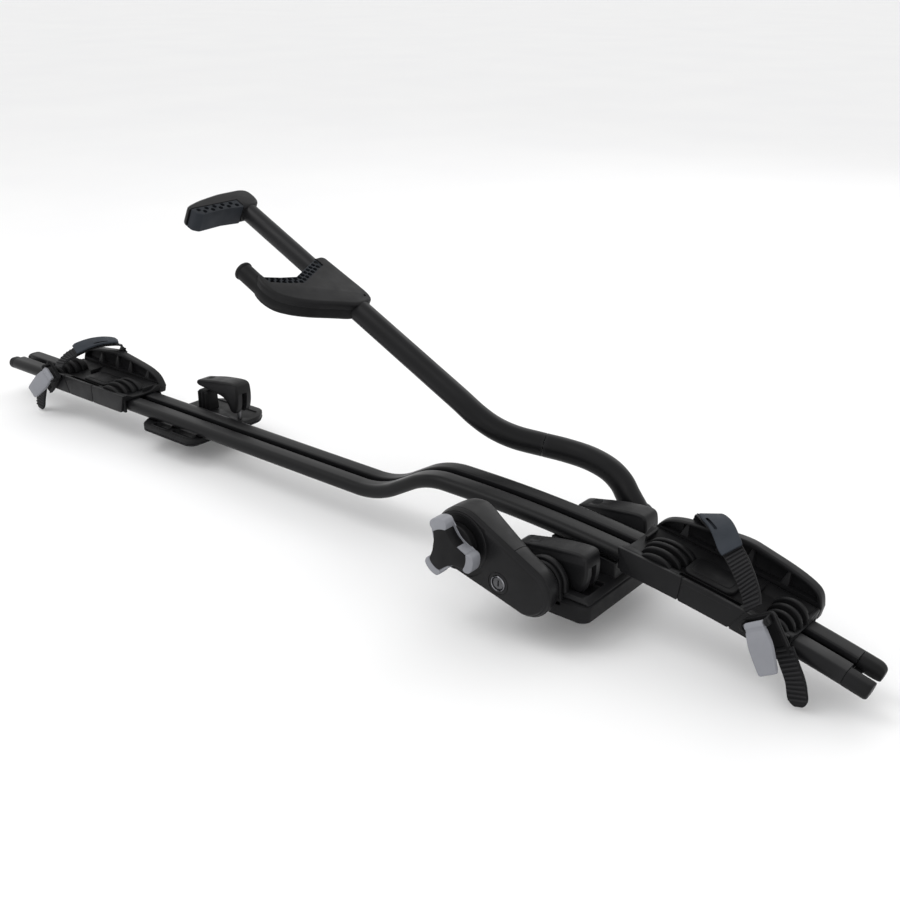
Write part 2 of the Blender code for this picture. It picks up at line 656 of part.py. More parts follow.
def build_housing(mats, empty):
    face, back = HOUSING_FACE_Y, HOUSING_BACK_Y
    front = face + 2.5
    rings = [housing_ring(front, HUB_R, DRUM_R), housing_ring(front + 9, HUB_R, DRUM_R),
             housing_ring(back, HUB_R - 9, DRUM_R - 5)]
    shell = loft("housing_shell", rings, mats["cover"], empty)
    join(shell, rod("drum", on_axis(KNOB_CENTRE, back - 2), on_axis(KNOB_CENTRE, DRUM_BACK_Y),
                    DRUM_R - 5.5, end_radius=DRUM_R - 10))
    cut(shell, rod("hole", on_axis(PIVOT, back - 11), on_axis(PIVOT, back + 5), SHAFT_R + GAP))
    outline = [(x, z) for x, _, z in housing_ring(0, HUB_R - 2.5, DRUM_R - 1.0)]
    plate = prism("housing_face", outline, face, front - GAP, "Y", mats["cover"], empty)
    bevel(plate, 0.8)
    for piece in (shell, plate):
        cut(piece, rod("hole", on_axis(KNOB_CENTRE, -140), on_axis(KNOB_CENTRE, -86), SPINDLE_R + 0.6,
                       sides=16))
        cut(piece, rod("lock_hole", on_axis(LOCK_CENTRE, -140), on_axis(LOCK_CENTRE, -108),
                       LOCK_R + GAP))
    bezel = rod("lock_bezel", on_axis(LOCK_CENTRE, face - 1.5), on_axis(LOCK_CENTRE, -108.5), LOCK_R,
                mats["steel"], empty)
    cut(bezel, rod("bore", on_axis(LOCK_CENTRE, -140), on_axis(LOCK_CENTRE, -100), LOCK_R - 2))
    lock_empty = joint_empty("lock_axis", LOCK_CENTRE, empty)
    rod("lock_cylinder", on_axis(LOCK_CENTRE, face - 1.0), on_axis(LOCK_CENTRE, -110), LOCK_R - 2.4,
        mats["steel"], lock_empty)


def polar(centre, radius, angle):
    a = math.radians(angle)
    return (centre.x + radius * math.cos(a), centre.z + radius * math.sin(a))


def build_knob(mats, empty):
    """Three-lobed knob: dark core, light lobe caps, and the spindle it turns."""
    back, front, centre = HOUSING_FACE_Y - 0.6, KNOB_FRONT_Y, KNOB_CENTRE
    core_line = []
    for angle in LOBE_ANGLES:
        for radius, offset in ((CORE_HOLLOW_R, -52), (CORE_R - 0.5, -24), (CORE_R, 0),
                               (CORE_R - 0.5, 24), (CORE_HOLLOW_R, 52)):
            core_line.append(polar(centre, radius, angle + offset))
    core = prism("knob_core", core_line, front, back, "Y", mats["plastic"], empty)
    bevel(core, 1.5)
    start, end = SPINDLE_Y
    cut(core, rod("bore", on_axis(centre, start - 1), on_axis(centre, -110), SPINDLE_R + GAP, sides=16))
    for number, angle in enumerate(LOBE_ANGLES, 1):
        inner = [polar(centre, radius + GAP, angle + turn)
                 for radius, turn in ((CORE_R - 0.5, -23), (CORE_R, 0), (CORE_R - 0.5, 23))]
        outer = [polar(centre, radius, angle + turn)
                 for radius, turn in ((34, 25), (KNOB_R, 15), (KNOB_R, -15), (34, -25))]
        lobe = prism(f"knob_lobe_{number}", inner + outer, front + 0.5, back - 0.5, "Y",
                     mats["grey"], empty)
        bevel(lobe, 1.2)
    rod("knob_spindle", on_axis(centre, start), on_axis(centre, end), SPINDLE_R, mats["steel"], empty,
        sides=16)


# ---------------------------------------------------------------- wheel holders
def holder_stations():
    return [-60.0, -20.0, 20.0, 60.0]


def tray_section():
    """Saddle over the rail: low walls, with a floor that carries the tyre."""
    inner, outer = TRAY_WALL_Y
    half = [(0, GAP), (inner, GAP), (inner, TRAY_BOTTOM), (outer, TRAY_BOTTOM), (outer, TRAY_TOP),
            (outer - 6, TRAY_TOP), (17, TRAY_FLOOR), (0, TRAY_FLOOR - 1)]
    return half + [(-y, z) for y, z in reversed(half[1:-1])]


HOOP_LINE = [(-94, -6), (-97, 5), (-90, 17), (-80, 23.5), (-63, 29), (-20, 36), (8, 40.5), (28, 38),
             (62, 34), (85, 28.5), (94, 22), (98.5, 9), (98.5, -6)]


def hoop_inset():
    """The hoop's side view drawn in by the wall's width, for the pocket in its inner face."""
    low, high = HOOP_LINE[0][1], max(z for _, z in HOOP_LINE)
    shrink_u = 1 - HOOP_WALL / HOLDER_HALF
    shrink_w = 1 - 2 * HOOP_WALL / (high - low)
    return [(u * shrink_u, low + HOOP_WALL + (z - low) * shrink_w) for u, z in HOOP_LINE]


class Holder:
    """Places pieces drawn in a wheel holder's own frame: u along, v across, w above the rail."""

    def __init__(self, prefix, x, facing, parent):
        self.prefix, self.facing, self.parent = prefix, facing, parent
        self.start = rail_distance(x)

    def bent(self, name, mesh, mat, parent=None):
        mesh = follow_rail(mesh, self.start, self.facing, holder_stations())
        return add(f"{self.prefix}_{name}", mesh, mat, parent or self.parent)

    def point(self, u, v, w):
        x, z, slope = rail_point(self.start + self.facing * u)
        return Vector((x - w * math.sin(slope), v, z + w * math.cos(slope)))

    def direction(self, u, v, w):
        slope = rail_point(self.start)[2]
        along, sine, cosine = self.facing * u, math.sin(slope), math.cos(slope)
        return Vector((along * cosine - w * sine, v, along * sine + w * cosine)).normalized()


def ribbon_rings(path, normals, width, thick, rise=0.0):
    """Rectangular sections along a path, each square to it, lifted by rise along the normal."""
    rings = []
    for i, (place, normal) in enumerate(zip(path, normals)):
        ahead, behind = path[min(i + 1, len(path) - 1)], path[max(i - 1, 0)]
        tangent = (ahead - behind).normalized()
        side = tangent.cross(normal).normalized()
        out = side.cross(tangent).normalized()
        corners = ((-1, 0), (1, 0), (1, 1), (-1, 1))
        rings.append([place + side * a * width / 2 + out * (rise + b * thick) for a, b in corners])
    return rings


def strap_normals(holder, count):
    """Outward directions: out at the far side, up over the tyre, out at the near side."""
    normals = []
    for i in range(count):
        run = STRAP_TOP if i < STRAP_TOP else count - 2 - STRAP_TOP
        turn = 90 * min(1.0, (i - STRAP_TOP) / run)
        angle = math.radians(turn)
        normals.append(holder.direction(0, -math.sin(angle), math.cos(angle)))
    return normals


def build_holder(prefix, x, facing, strap_line, tail_line, mats, parent):
    """Tray, blank side cover, high wall, ratchet strap with rim pad, and its buckle."""
    holder = Holder(prefix, x, facing, parent)
    holder.bent("tray", prism_mesh([tray_section()], -HOLDER_HALF, HOLDER_HALF, "X"),
                mats["plastic"])
    (inner, outer), (low, high) = COVER_Y, COVER_W
    half = HOLDER_HALF
    side = [(-half - 2, high), (-half + 6, low), (half - 8, low), (half - 2, high)]
    holder.bent("side_cover", prism_mesh([side], -outer, -inner, "Y"), mats["cover"])
    hoop = holder.bent("hoop", prism_mesh([HOOP_LINE], *HOOP_Y, "Y"), mats["cover"])
    pocket = prism_mesh([hoop_inset()], HOOP_Y[0] - 5, HOOP_Y[1] - HOOP_BACK, "Y")
    cut(hoop, holder.bent("pocket", pocket, None))
    build_strap(holder, strap_line, mats)
    build_buckle(holder, tail_line, mats)


def build_strap(holder, strap_line, mats):
    prefix, parent = holder.prefix, holder.parent
    path = smooth_path([holder.point(*p) for p in strap_line], STRAP_STEPS)
    normals = strap_normals(holder, len(path))
    loft(f"{prefix}_strap", ribbon_rings(path, normals, STRAP_WIDTH, STRAP_THICK), mats["strap"],
         parent)
    rings = ribbon_rings(path, normals, STRAP_WIDTH + 2 * PAD_SIDES, PAD_THICK, STRAP_THICK + PAD_RISE)
    loft(f"{prefix}_rim_pad", rings[PAD_SECTIONS], mats["pad"], parent)


def turned_box(centre, axes, size):
    """A box mesh whose edges follow three given directions."""
    bm = bmesh.new()
    bmesh.ops.create_cube(bm, size=1.0)
    turn = Matrix(axes).transposed().to_quaternion()
    bmesh.ops.transform(bm, verts=bm.verts, matrix=Matrix.LocRotScale(centre, turn, Vector(size)))
    return mesh_of(bm)


def axes_from(down):
    """Right-handed directions: down the piece, across it, and out from the holder's side."""
    down = Vector(down).normalized()
    across = Vector((0, -1, 0)).cross(down).normalized()
    return down, across, down.cross(across).normalized()


def build_buckle(holder, tail_line, mats):
    """Ratchet frame at the strap's end, its lever on a cross pin, and the strap's loose tail."""
    prefix, parent = holder.prefix, holder.parent
    hinge, lever_axes = Vector(BUCKLE_HINGE), axes_from(LEVER_DOWN)
    down, across, _ = lever_axes
    flat_axes = axes_from((down.x, 0, down.z))
    centre = hinge + flat_axes[0] * FRAME_SHIFT[0] + across * FRAME_SHIFT[1]
    centre.y = FRAME_Y
    frame = holder.bent("buckle_frame", turned_box(centre, flat_axes, FRAME_SIZE), mats["plastic"])
    for side in (-1, 1):
        ear = hinge + across * side * (BUCKLE_HALF + 0.6 + EAR_SIZE[1] / 2)
        ear.y = EAR_Y
        join(frame, holder.bent("ear", turned_box(ear, flat_axes, EAR_SIZE), None))
    pin = (hinge - across * (BUCKLE_HALF + 4.4), hinge + across * (BUCKLE_HALF + 4.4))
    cut(frame, holder.bent("hole", rod_mesh(pin[0] - across, pin[1] + across, PIN_R + GAP, 12), None))
    holder.bent("buckle_pin", rod_mesh(*pin, PIN_R, 12), mats["steel"])
    empty = joint_empty(f"{prefix}_buckle_axis", holder.point(*hinge), parent)
    reach = (BUCKLE_LENGTH - 8) / 2
    lever = holder.bent("buckle_lever", turned_box(hinge + down * reach, lever_axes,
                                                   (BUCKLE_LENGTH, 2 * BUCKLE_HALF, 6.4)),
                        mats["grey"], empty)
    bevel(lever, 2.0, 2)
    cut(lever, holder.bent("bore", rod_mesh(pin[0] - across, pin[1] + across, PIN_R + GAP, 12), None))
    path = smooth_path([holder.point(*p) for p in tail_line], STRAP_STEPS)
    normals = [holder.direction(0, -1, 0)] * len(path)
    rings = ribbon_rings(path, normals, STRAP_WIDTH, STRAP_THICK)
    tip = ribbon_rings(path, normals, STRAP_WIDTH * TIP_SHARE[0], STRAP_THICK)[-1]
    ahead = (path[-1] - path[-2]).normalized() * STRAP_WIDTH * TIP_SHARE[1]
    loft(f"{prefix}_strap_tail", rings + [[corner + ahead for corner in tip]], mats["strap"], parent)


def build_holders(mats):
    start = [(-58, 47.2, 12), (-56, 47.6, 27)]
    front = start + [(-53, 46.4, 36.5), (-37, 32, 44.5), (-17, 18, 47.5), (1, 5, 42.5), (22, -9, 36),
                     (45, -29, 28.5), (56, -41, 21)]
    front_tail = [(105.5, -41.5, -11.8), (119, -42.5, -27), (129, -44, -44)]
    build_holder("front", FRONT_HOLDER_X, 1, front, front_tail, mats, None)
    slide = joint_empty("rear_holder_slide", (REAR_HOLDER_X, 0, RAIL_TOP_REAR))
    start = [(10, 47.6, 18), (11, 48.0, 34)]
    rear = start + [(14, 46.8, 44.5), (24, 32, 49), (36, 14, 48), (48, -4, 42), (54, -20, 35),
                    (54, -33, 29), (53, -41, 23.5)]
    rear_tail = [(104, -41.5, -19), (109, -42.5, -35), (112, -44, -51)]
    build_holder("rear", REAR_HOLDER_X, -1, rear, rear_tail, mats, slide)


def main():
    clear_scene()
    make_collections()
    mats = make_materials()
    build_rail(mats)
    build_foot(mats)
    build_front_levers(mats)
    build_rear_foot(mats)
    arm_axis = joint_empty("arm_axis", PIVOT)
    build_arm(mats, arm_axis)
    build_claw(mats, arm_axis)
    jaw_axis = joint_empty("jaw_slide_axis", on_arm(JAW_PAD_BACK))
    build_upper_jaw(mats, jaw_axis)
    build_housing(mats, arm_axis)
    build_knob(mats, joint_empty("knob_axis", KNOB_CENTRE))
    build_holders(mats)


main()
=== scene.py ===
import json
from math import acos, asin, atan2, ceil, cos, degrees, dist, radians, sin, sqrt

import bmesh
import bpy
from mathutils import Matrix, Vector

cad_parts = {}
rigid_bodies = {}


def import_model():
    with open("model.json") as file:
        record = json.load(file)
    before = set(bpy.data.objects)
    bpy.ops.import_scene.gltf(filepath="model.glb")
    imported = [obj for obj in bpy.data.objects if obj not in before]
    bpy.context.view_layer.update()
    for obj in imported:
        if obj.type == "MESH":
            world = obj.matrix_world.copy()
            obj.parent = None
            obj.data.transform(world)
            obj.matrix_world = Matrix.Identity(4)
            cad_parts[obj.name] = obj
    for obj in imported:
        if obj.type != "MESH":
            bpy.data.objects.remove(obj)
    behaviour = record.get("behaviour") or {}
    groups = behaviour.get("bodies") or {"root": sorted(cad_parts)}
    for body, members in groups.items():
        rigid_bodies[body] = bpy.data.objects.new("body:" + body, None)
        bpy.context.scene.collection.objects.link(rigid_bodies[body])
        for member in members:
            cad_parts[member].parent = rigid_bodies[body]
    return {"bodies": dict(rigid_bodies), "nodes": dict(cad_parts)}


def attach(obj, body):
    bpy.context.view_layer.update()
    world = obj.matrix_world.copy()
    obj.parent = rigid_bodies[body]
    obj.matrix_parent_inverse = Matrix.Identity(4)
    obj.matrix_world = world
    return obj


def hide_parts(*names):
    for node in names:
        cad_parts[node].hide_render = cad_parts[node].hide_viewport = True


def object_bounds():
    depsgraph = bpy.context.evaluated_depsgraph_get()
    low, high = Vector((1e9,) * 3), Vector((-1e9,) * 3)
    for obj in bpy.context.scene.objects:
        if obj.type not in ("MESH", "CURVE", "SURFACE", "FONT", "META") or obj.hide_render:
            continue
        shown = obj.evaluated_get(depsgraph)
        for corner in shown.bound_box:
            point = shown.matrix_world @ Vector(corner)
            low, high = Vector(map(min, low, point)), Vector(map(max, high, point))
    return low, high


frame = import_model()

CAD_BOX = [list(corner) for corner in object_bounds()]
MM = 0.001                     # pieces are drawn in millimetres, in the frame's own directions

# Rail line, as in the CAD.
RAIL_REAR_X, RAIL_FRONT_X, RAIL_TOP_REAR = -1109.0, 296.0, 27.5
RAIL_WIDTH, RAIL_HEIGHT = 59.0, 17.3
BEND_START_X, BEND_RADIUS, BEND_ANGLE, BEND_STRAIGHT = -343.0, 117.0, radians(30.0), 31.5
CREST_FLAT, CROWN_RADIUS = 20.0, 1920.0

# Pivot, arm and housing.
PIVOT, SHAFT_BORE_R = Vector((-10.0, 0.0, 33.0)), 8.6
ARM_RISE, ARM_Y, ARM_OFFSET = 26.57, 55.0, 6.0
TUBE_R, INNER_TUBE_R, TUBE_END, INNER_START, INNER_END = 14.6, 12.4, 446.0, 392.0, 681.0
LINK_Y = 109.0
JAW_HALF, CLAW_PAD_DEPTH, SCREW = 14.0, 15.0, (444.0, 66.0)
MOUTH = [(529.0, 56.0), (508.0, 4.0), (514.0, -18.0), (523.0, -41.0)]
KNOB_CENTRE = Vector((-94.0, 0.0, 65.0))
HUB_R, DRUM_R, HOUSING_FACE = 29.6, 38.0, -124.0
HUB_BACK, DRUM_BACK = -94.5, -81.0          # y of the housing's back at each end
KNOB_LOBES, KNOB_BACK, KNOB_FRONT = (-11, 110, 234), -135.0, -150.0
LOCK_CENTRE = Vector((-43.0, 0.0, 33.0))

# Foot and levers.
FOOT_X, FOOT_Y, PARTING_Z, DECK_Z = 47.0, 92.6, 20.0, 27.0
LEVER_Y, LEVER_WIDTH = 60.0, 28.0
FRONT_LEVER_PIVOT, REAR_LEVER_PIVOT = (20.0, 48.0), (-657.0, 47.0)
REAR_FOOT_X, REAR_FOOT_Y, REAR_FOOT_Z = (-765.0, -642.0), (-44.0, 108.0), (3.3, 9.6)
STRAP_SLOTS, SLOT_Y = ((-738.0, -706.0), (-695.0, -652.0)), (-37.0, -24.0)

# Wheel holders, in their own directions: u along the rail, v across it, w above its top.
FRONT_HOLDER_X, REAR_HOLDER_X, HOLDER_HALF = 145.0, -902.0, 98.0
HOOP_LINE = [(-94, -6), (-97, 5), (-90, 17), (-80, 23.5), (-63, 29), (-20, 36), (8, 40.5), (28, 38),
             (62, 34), (85, 28.5), (94, 22), (98.5, 9), (98.5, -6)]
STRAP_WIDTH, RIB_PITCH, STRAP_STEPS = 22.0, 4.7, 10
STRAP_TOP, PAD_END = 80 / 3, 54        # counted in steps along the strap
PAD_WIDTH, PAD_THICK, PAD_RISE = 25.0, 3.4, 4.7
BUCKLE_HINGE, LEVER_DOWN = Vector((65.0, -52.5, 13.5)), (0.667, -0.253, -0.70)
FLOOR_HALF = 40.0              # metres


# ---- Materials
def node(tree, kind, **inputs):
    made = tree.nodes.new(kind)
    for key, value in inputs.items():
        made.inputs[key].default_value = value
    return made


def ramp(tree, source, low, high, start=0.3, end=0.7):
    """Two colours across a grey source."""
    made = tree.nodes.new("ShaderNodeValToRGB")
    for element, place, colour in zip(made.color_ramp.elements, (start, end), (low, high)):
        element.position, element.color = place, (*colour, 1.0)
    tree.links.new(source, made.inputs["Fac"])
    return made.outputs["Color"]


def span(tree, source, low, high):
    made = node(tree, "ShaderNodeMapRange", **{"To Min": low, "To Max": high,
                                               "From Min": 0.3, "From Max": 0.7})
    tree.links.new(source, made.inputs["Value"])
    return made.outputs["Result"]


def noise(tree, place, scale, detail=3.0):
    made = node(tree, "ShaderNodeTexNoise", Scale=scale, Detail=detail)
    tree.links.new(place, made.inputs["Vector"])
    return made.outputs["Fac"]


def finish_of(name, colour, roughness, metallic=0.0, grain=1500.0, depth=0.35, tone=0.25, edge_highlight_gain=1.6,
              specular=0.14, stretch=(1, 1, 1)):
    """A moulded, cast or drawn surface: cloudy tone, uneven gloss, fine grain, and paler convex edges
    that are a painted edge highlight.
    """
    mat = bpy.data.materials.new(name)
    mat.use_nodes = True
    tree = mat.node_tree
    shader = tree.nodes["Principled BSDF"]
    shader.inputs["Metallic"].default_value = metallic
    shader.inputs["Specular IOR Level"].default_value = specular
    place = tree.nodes.new("ShaderNodeTexCoord").outputs["Object"]
    mapped = node(tree, "ShaderNodeMapping", Scale=stretch)
    tree.links.new(place, mapped.inputs["Vector"])
    place = mapped.outputs["Vector"]
    dark = tuple(c * (1 - tone) for c in colour)
    pale = tuple(c * (1 + tone) for c in colour)
    base = ramp(tree, noise(tree, place, 22.0), dark, pale)
    # Convex edges, found by pointiness, are mixed towards a paler colour: a painted edge highlight.
    edge = tree.nodes.new("ShaderNodeNewGeometry").outputs["Pointiness"]
    painted_edge_highlight = ramp(tree, edge, (0, 0, 0), (1, 1, 1), 0.52, 0.60)
    mix = tree.nodes.new("ShaderNodeMix")
    mix.data_type = "RGBA"
    tree.links.new(painted_edge_highlight, mix.inputs["Factor"])
    tree.links.new(base, mix.inputs[6])
    # The paler colour of the painted edge highlight: the base colour scaled up by the given factor.
    mix.inputs[7].default_value = (*(min(1.0, c * edge_highlight_gain + 0.004) for c in colour), 1.0)
    tree.links.new(mix.outputs[2], shader.inputs["Base Color"])
    gloss = noise(tree, place, 60.0, 4.0)
    tree.links.new(span(tree, gloss, roughness - 0.08, roughness + 0.08), shader.inputs["Roughness"])
    bump = node(tree, "ShaderNodeBump", Strength=depth, Distance=0.00012)
    tree.links.new(noise(tree, place, grain, 2.0), bump.inputs["Height"])
    tree.links.new(bump.outputs["Normal"], shader.inputs["Normal"])
    return mat


# Every finish gets a painted edge highlight; where a factor for it is given, it sets how much paler
# the edges are.
MATS = {
    "plastic": finish_of("moulded_black_plastic", (0.0052, 0.0052, 0.0057), 0.50),
    "cover": finish_of("satin_black_cover", (0.0062, 0.0062, 0.0068), 0.43, grain=2200.0, depth=0.25,
                       specular=0.17),
    "metal": finish_of("anodised_black_aluminium", (0.0060, 0.0060, 0.0066), 0.38, grain=900.0,
                       depth=0.2, specular=0.15, stretch=(0.05, 1, 1)),
    "steel": finish_of("dark_steel", (0.10, 0.10, 0.105), 0.36, 0.9, grain=700.0, depth=0.15),
    "chrome": finish_of("bright_lock_ring", (0.22, 0.22, 0.235), 0.25, 1.0, grain=700.0, depth=0.05,
                        tone=0.08, edge_highlight_gain=1.1),
    "pad": finish_of("slate_rubber", (0.030, 0.035, 0.043), 0.62, grain=1100.0, depth=0.5),
    "dark_pad": finish_of("dark_slate_rubber", (0.017, 0.0195, 0.024), 0.62, grain=1100.0, depth=0.5),
    "rubber": finish_of("black_rubber", (0.010, 0.010, 0.011), 0.75, grain=900.0, depth=0.6),
    "strap": finish_of("black_strap", (0.0075, 0.0075, 0.0082), 0.48, grain=1700.0, depth=0.4),
    "grey": finish_of("light_grey_plastic", (0.20, 0.205, 0.225), 0.42, grain=1900.0, depth=0.2,
                      tone=0.08, edge_highlight_gain=1.25, specular=0.4),
}


# ---- Building blocks
def mesh_of(bm):
    mesh = bpy.data.meshes.new("mesh")
    bm.to_mesh(mesh)
    bm.free()
    return mesh


def skin(rings):
    """A mesh through rings of equal length, closed by a face at each end."""
    bm = bmesh.new()
    rows = [[bm.verts.new(p) for p in ring] for ring in rings]
    for row, following in zip(rows, rows[1:]):
        for i, corner in enumerate(row):
            j = (i + 1) % len(row)
            bm.faces.new((corner, row[j], following[j], following[i]))
    bm.faces.new(list(reversed(rows[0])))
    bm.faces.new(rows[-1])
    bmesh.ops.recalc_face_normals(bm, faces=bm.faces)
    return mesh_of(bm)


def plate(outline, low, high, axis="Z"):
    """A flat outline given thickness; (y, z) for X, (x, z) for Y and (x, y) for Z."""
    at = "XYZ".index(axis)
    return skin([[(*point[:at], t, *point[at:]) for point in outline] for t in (low, high)])


def block(low, high):
    (x0, y0, z0), (x1, y1, z1) = low, high
    return plate([(x0, y0), (x1, y0), (x1, y1), (x0, y1)], z0, z1)


def inset_by(outline, distance):
    """The outline moved inwards, each point along the mean of its two edges' normals."""
    area = sum(a[0] * b[1] - b[0] * a[1] for a, b in zip(outline, outline[1:] + outline[:1]))
    made = []
    for i, point in enumerate(outline):
        along = (Vector(outline[(i + 1) % len(outline)]) - Vector(outline[i - 1])).normalized()
        inward = Vector((-along.y, along.x)) * (1 if area > 0 else -1)
        made.append(tuple(Vector(point) + inward * distance))
    return made


def cushion(outline, low, high, low_edge, high_edge, steps=5):
    """A flat outline given thickness along Z, with a quarter-round edge at each face."""
    rings = []
    for start, turn, edge in ((low, 1, low_edge), (high, -1, high_edge)):
        quarter = [(start + turn * edge * (1 - cos(radians(90 * k / steps))),
                    edge * (1 - sin(radians(90 * k / steps)))) for k in range(steps + 1)]
        for height, inset in quarter if turn > 0 else reversed(quarter):
            rings.append([(a, b, height) for a, b in inset_by(outline, inset)])
    return skin(rings)


def rounding(width, segments=3, angle=32.0):
    return ("BEVEL", {"width": width, "segments": segments, "limit_method": "ANGLE",
                      "angle_limit": radians(angle), "harden_normals": False})


def cutting(*meshes):
    return ("BOOLEAN", {"operation": "DIFFERENCE", "solver": "EXACT", "use_self": True,
                        "object": merge(meshes)})


def placed(name, data):
    obj = bpy.data.objects.new(name, data)
    bpy.context.scene.collection.objects.link(obj)
    return obj


def shaped(mesh, *steps):
    """The mesh that modifiers make of a mesh."""
    helpers = [placed("work", mesh)]
    for kind, settings in steps:
        mod = helpers[0].modifiers.new(kind, kind)
        for key, value in settings.items():
            if key == "object":
                helpers.append(placed("work", value))
                value = helpers[-1]
            setattr(mod, key, value)
    graph = bpy.context.evaluated_depsgraph_get()
    made = bpy.data.meshes.new_from_object(helpers[0].evaluated_get(graph))
    for helper in helpers:
        bpy.data.objects.remove(helper, do_unlink=True)
    return made


def slab(outline, low, high, axis, *edge, cut=()):
    """A plate with rounded edges, then cut; edge is rounding's width, segments and angle."""
    return shaped(plate(outline, low, high, axis), rounding(*edge), *[cutting(mesh) for mesh in cut])


def merge(meshes):
    bm = bmesh.new()
    for mesh in meshes:
        bm.from_mesh(mesh)
    return mesh_of(bm)


def piece(name, mesh, finish, cad_node, sharp=38.0):
    """A shown piece from a mesh in millimetres, riding with the CAD node it stands for."""
    mesh.transform(Matrix.Scale(MM, 4))
    mesh.materials.clear()
    mesh.materials.append(MATS[finish])
    mesh.shade_smooth()
    mesh.set_sharp_from_angle(angle=radians(sharp))
    obj = placed(name, mesh)
    parent = frame["nodes"][cad_node].parent
    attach(obj, next(body for body, empty in frame["bodies"].items() if empty is parent))
    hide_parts(cad_node)


def arc(centre, radius, start, end, steps):
    angles = [radians(start + (end - start) * i / steps) for i in range(steps + 1)]
    return [(centre[0] + radius * cos(a), centre[1] + radius * sin(a)) for a in angles]


def rounded_box(low, high, corner, steps=5):
    (x0, y0), (x1, y1) = low, high
    corners = (((x1 - corner, y1 - corner), 0), ((x0 + corner, y1 - corner), 90),
               ((x0 + corner, y0 + corner), 180), ((x1 - corner, y0 + corner), 270))
    return [p for centre, start in corners for p in arc(centre, corner, start, start + 90, steps)]


def corner_cut(points, closed=True):
    """Chaikin's rule, twice: an outline with rounded corners, never outside the one given."""
    pts = [Vector(p) for p in points]
    for _ in range(2):
        pairs = zip(pts, pts[1:] + pts[:1]) if closed else zip(pts, pts[1:])
        cut = [q for a, b in pairs for q in (a.lerp(b, 0.25), a.lerp(b, 0.75))]
        pts = cut if closed else [pts[0]] + cut[1:-1] + [pts[-1]]
    return [tuple(p) for p in pts]


def eased(points, radius, steps=4):
    """An outline with each corner replaced by a curve that starts radius away from it."""
    made = []
    for i, corner in enumerate(points):
        corner = Vector(corner)
        before, after = Vector(points[i - 1]), Vector(points[(i + 1) % len(points)])
        a = corner + (before - corner).normalized() * min(radius, (before - corner).length * 0.45)
        b = corner + (after - corner).normalized() * min(radius, (after - corner).length * 0.45)
        for k in range(steps + 1):
            t = k / steps
            made.append(tuple(a * (1 - t) ** 2 + corner * 2 * t * (1 - t) + b * t ** 2))
    return made


def smooth_path(points, steps):
    """More points on a Catmull-Rom curve through the given ones."""
    pts = [Vector(p) for p in points]
    pts = [2 * pts[0] - pts[1]] + pts + [2 * pts[-1] - pts[-2]]
    path = []
    for a, b, c, d in zip(pts, pts[1:], pts[2:], pts[3:]):
        for i in range(steps):
            t = i / steps
            path.append(0.5 * (2 * b + (c - a) * t + (2 * a - 5 * b + 4 * c - d) * t ** 2
                               + (3 * b - a - 3 * c + d) * t ** 3))
    return path + [pts[-2]]


def clamp(value):
    return min(1.0, max(0.0, value))


def smoothstep(value):
    share = clamp(value)
    return share * share * (3 - 2 * share)


def circle(radius, sides):
    return arc((0, 0), radius, 0, 360, sides)[:-1]


def station_at(path, i, up):
    """(place, tangent, side, up) at one point of a path, with up made square to it."""
    tangent = (path[min(i + 1, len(path) - 1)] - path[max(i - 1, 0)]).normalized()
    side = tangent.cross(up).normalized()
    return path[i], tangent, side, side.cross(tangent).normalized()


def stations_along(path, up=Vector((0, 0, 1))):
    """A station at each point, with up carried along the path."""
    made = []
    for i in range(len(path)):
        made.append(station_at(path, i, up))
        up = made[-1][3]
    return made


def ring_at(station, outline):
    place, _, side, up = station
    return [place + side * a + up * b for a, b in outline]


def lathe(start, direction, profile, sides=48):
    """A turned solid: profile is (distance along the axis, radius)."""
    start, axis = Vector(start), Vector(direction).normalized()
    side = axis.orthogonal().normalized()
    up = axis.cross(side)
    return skin([[start + axis * t + side * a + up * b for a, b in circle(max(r, 0.05), sides)]
                 for t, r in profile])


def rod(start, end, radius, sides=32):
    way = Vector(end) - Vector(start)
    return lathe(start, way, [(0, radius), (way.length, radius)], sides)


def at_y(centre, y):
    return (centre.x, y, centre.z)


# ---- The rail's line
def rail_segments():
    """(length, curvature) of each stretch of the rail's top line, from its rear end."""
    crest_x = (BEND_START_X + 2 * BEND_RADIUS * sin(BEND_ANGLE) + BEND_STRAIGHT * cos(BEND_ANGLE)
               + CREST_FLAT)
    bend, reach = BEND_RADIUS * BEND_ANGLE, RAIL_FRONT_X - crest_x
    return [(BEND_START_X - RAIL_REAR_X, 0.0), (bend, 1 / BEND_RADIUS), (BEND_STRAIGHT, 0.0),
            (bend, -1 / BEND_RADIUS), (CREST_FLAT, 0.0),
            (CROWN_RADIUS * asin(reach / CROWN_RADIUS), -1 / CROWN_RADIUS)]


def rail_length():
    return sum(length for length, _ in rail_segments())


def rail_point(distance):
    """(x, z, slope) of the rail's top line at a distance from its rear end."""
    x, z, slope = RAIL_REAR_X, RAIL_TOP_REAR, 0.0
    segments = rail_segments()
    for index, (length, curvature) in enumerate(segments):
        run = distance if index == len(segments) - 1 else min(distance, length)
        if curvature:
            after = slope + run * curvature
            x += (sin(after) - sin(slope)) / curvature
            z += (cos(slope) - cos(after)) / curvature
            slope = after
        else:
            x += run * cos(slope)
            z += run * sin(slope)
        distance -= run
        if distance == 0:
            break
    return x, z, slope


def rail_distance(x):
    low, high = 0.0, rail_length() + 30
    for _ in range(40):
        middle = (low + high) / 2
        low, high = (middle, high) if rail_point(middle)[0] < x else (low, middle)
    return low


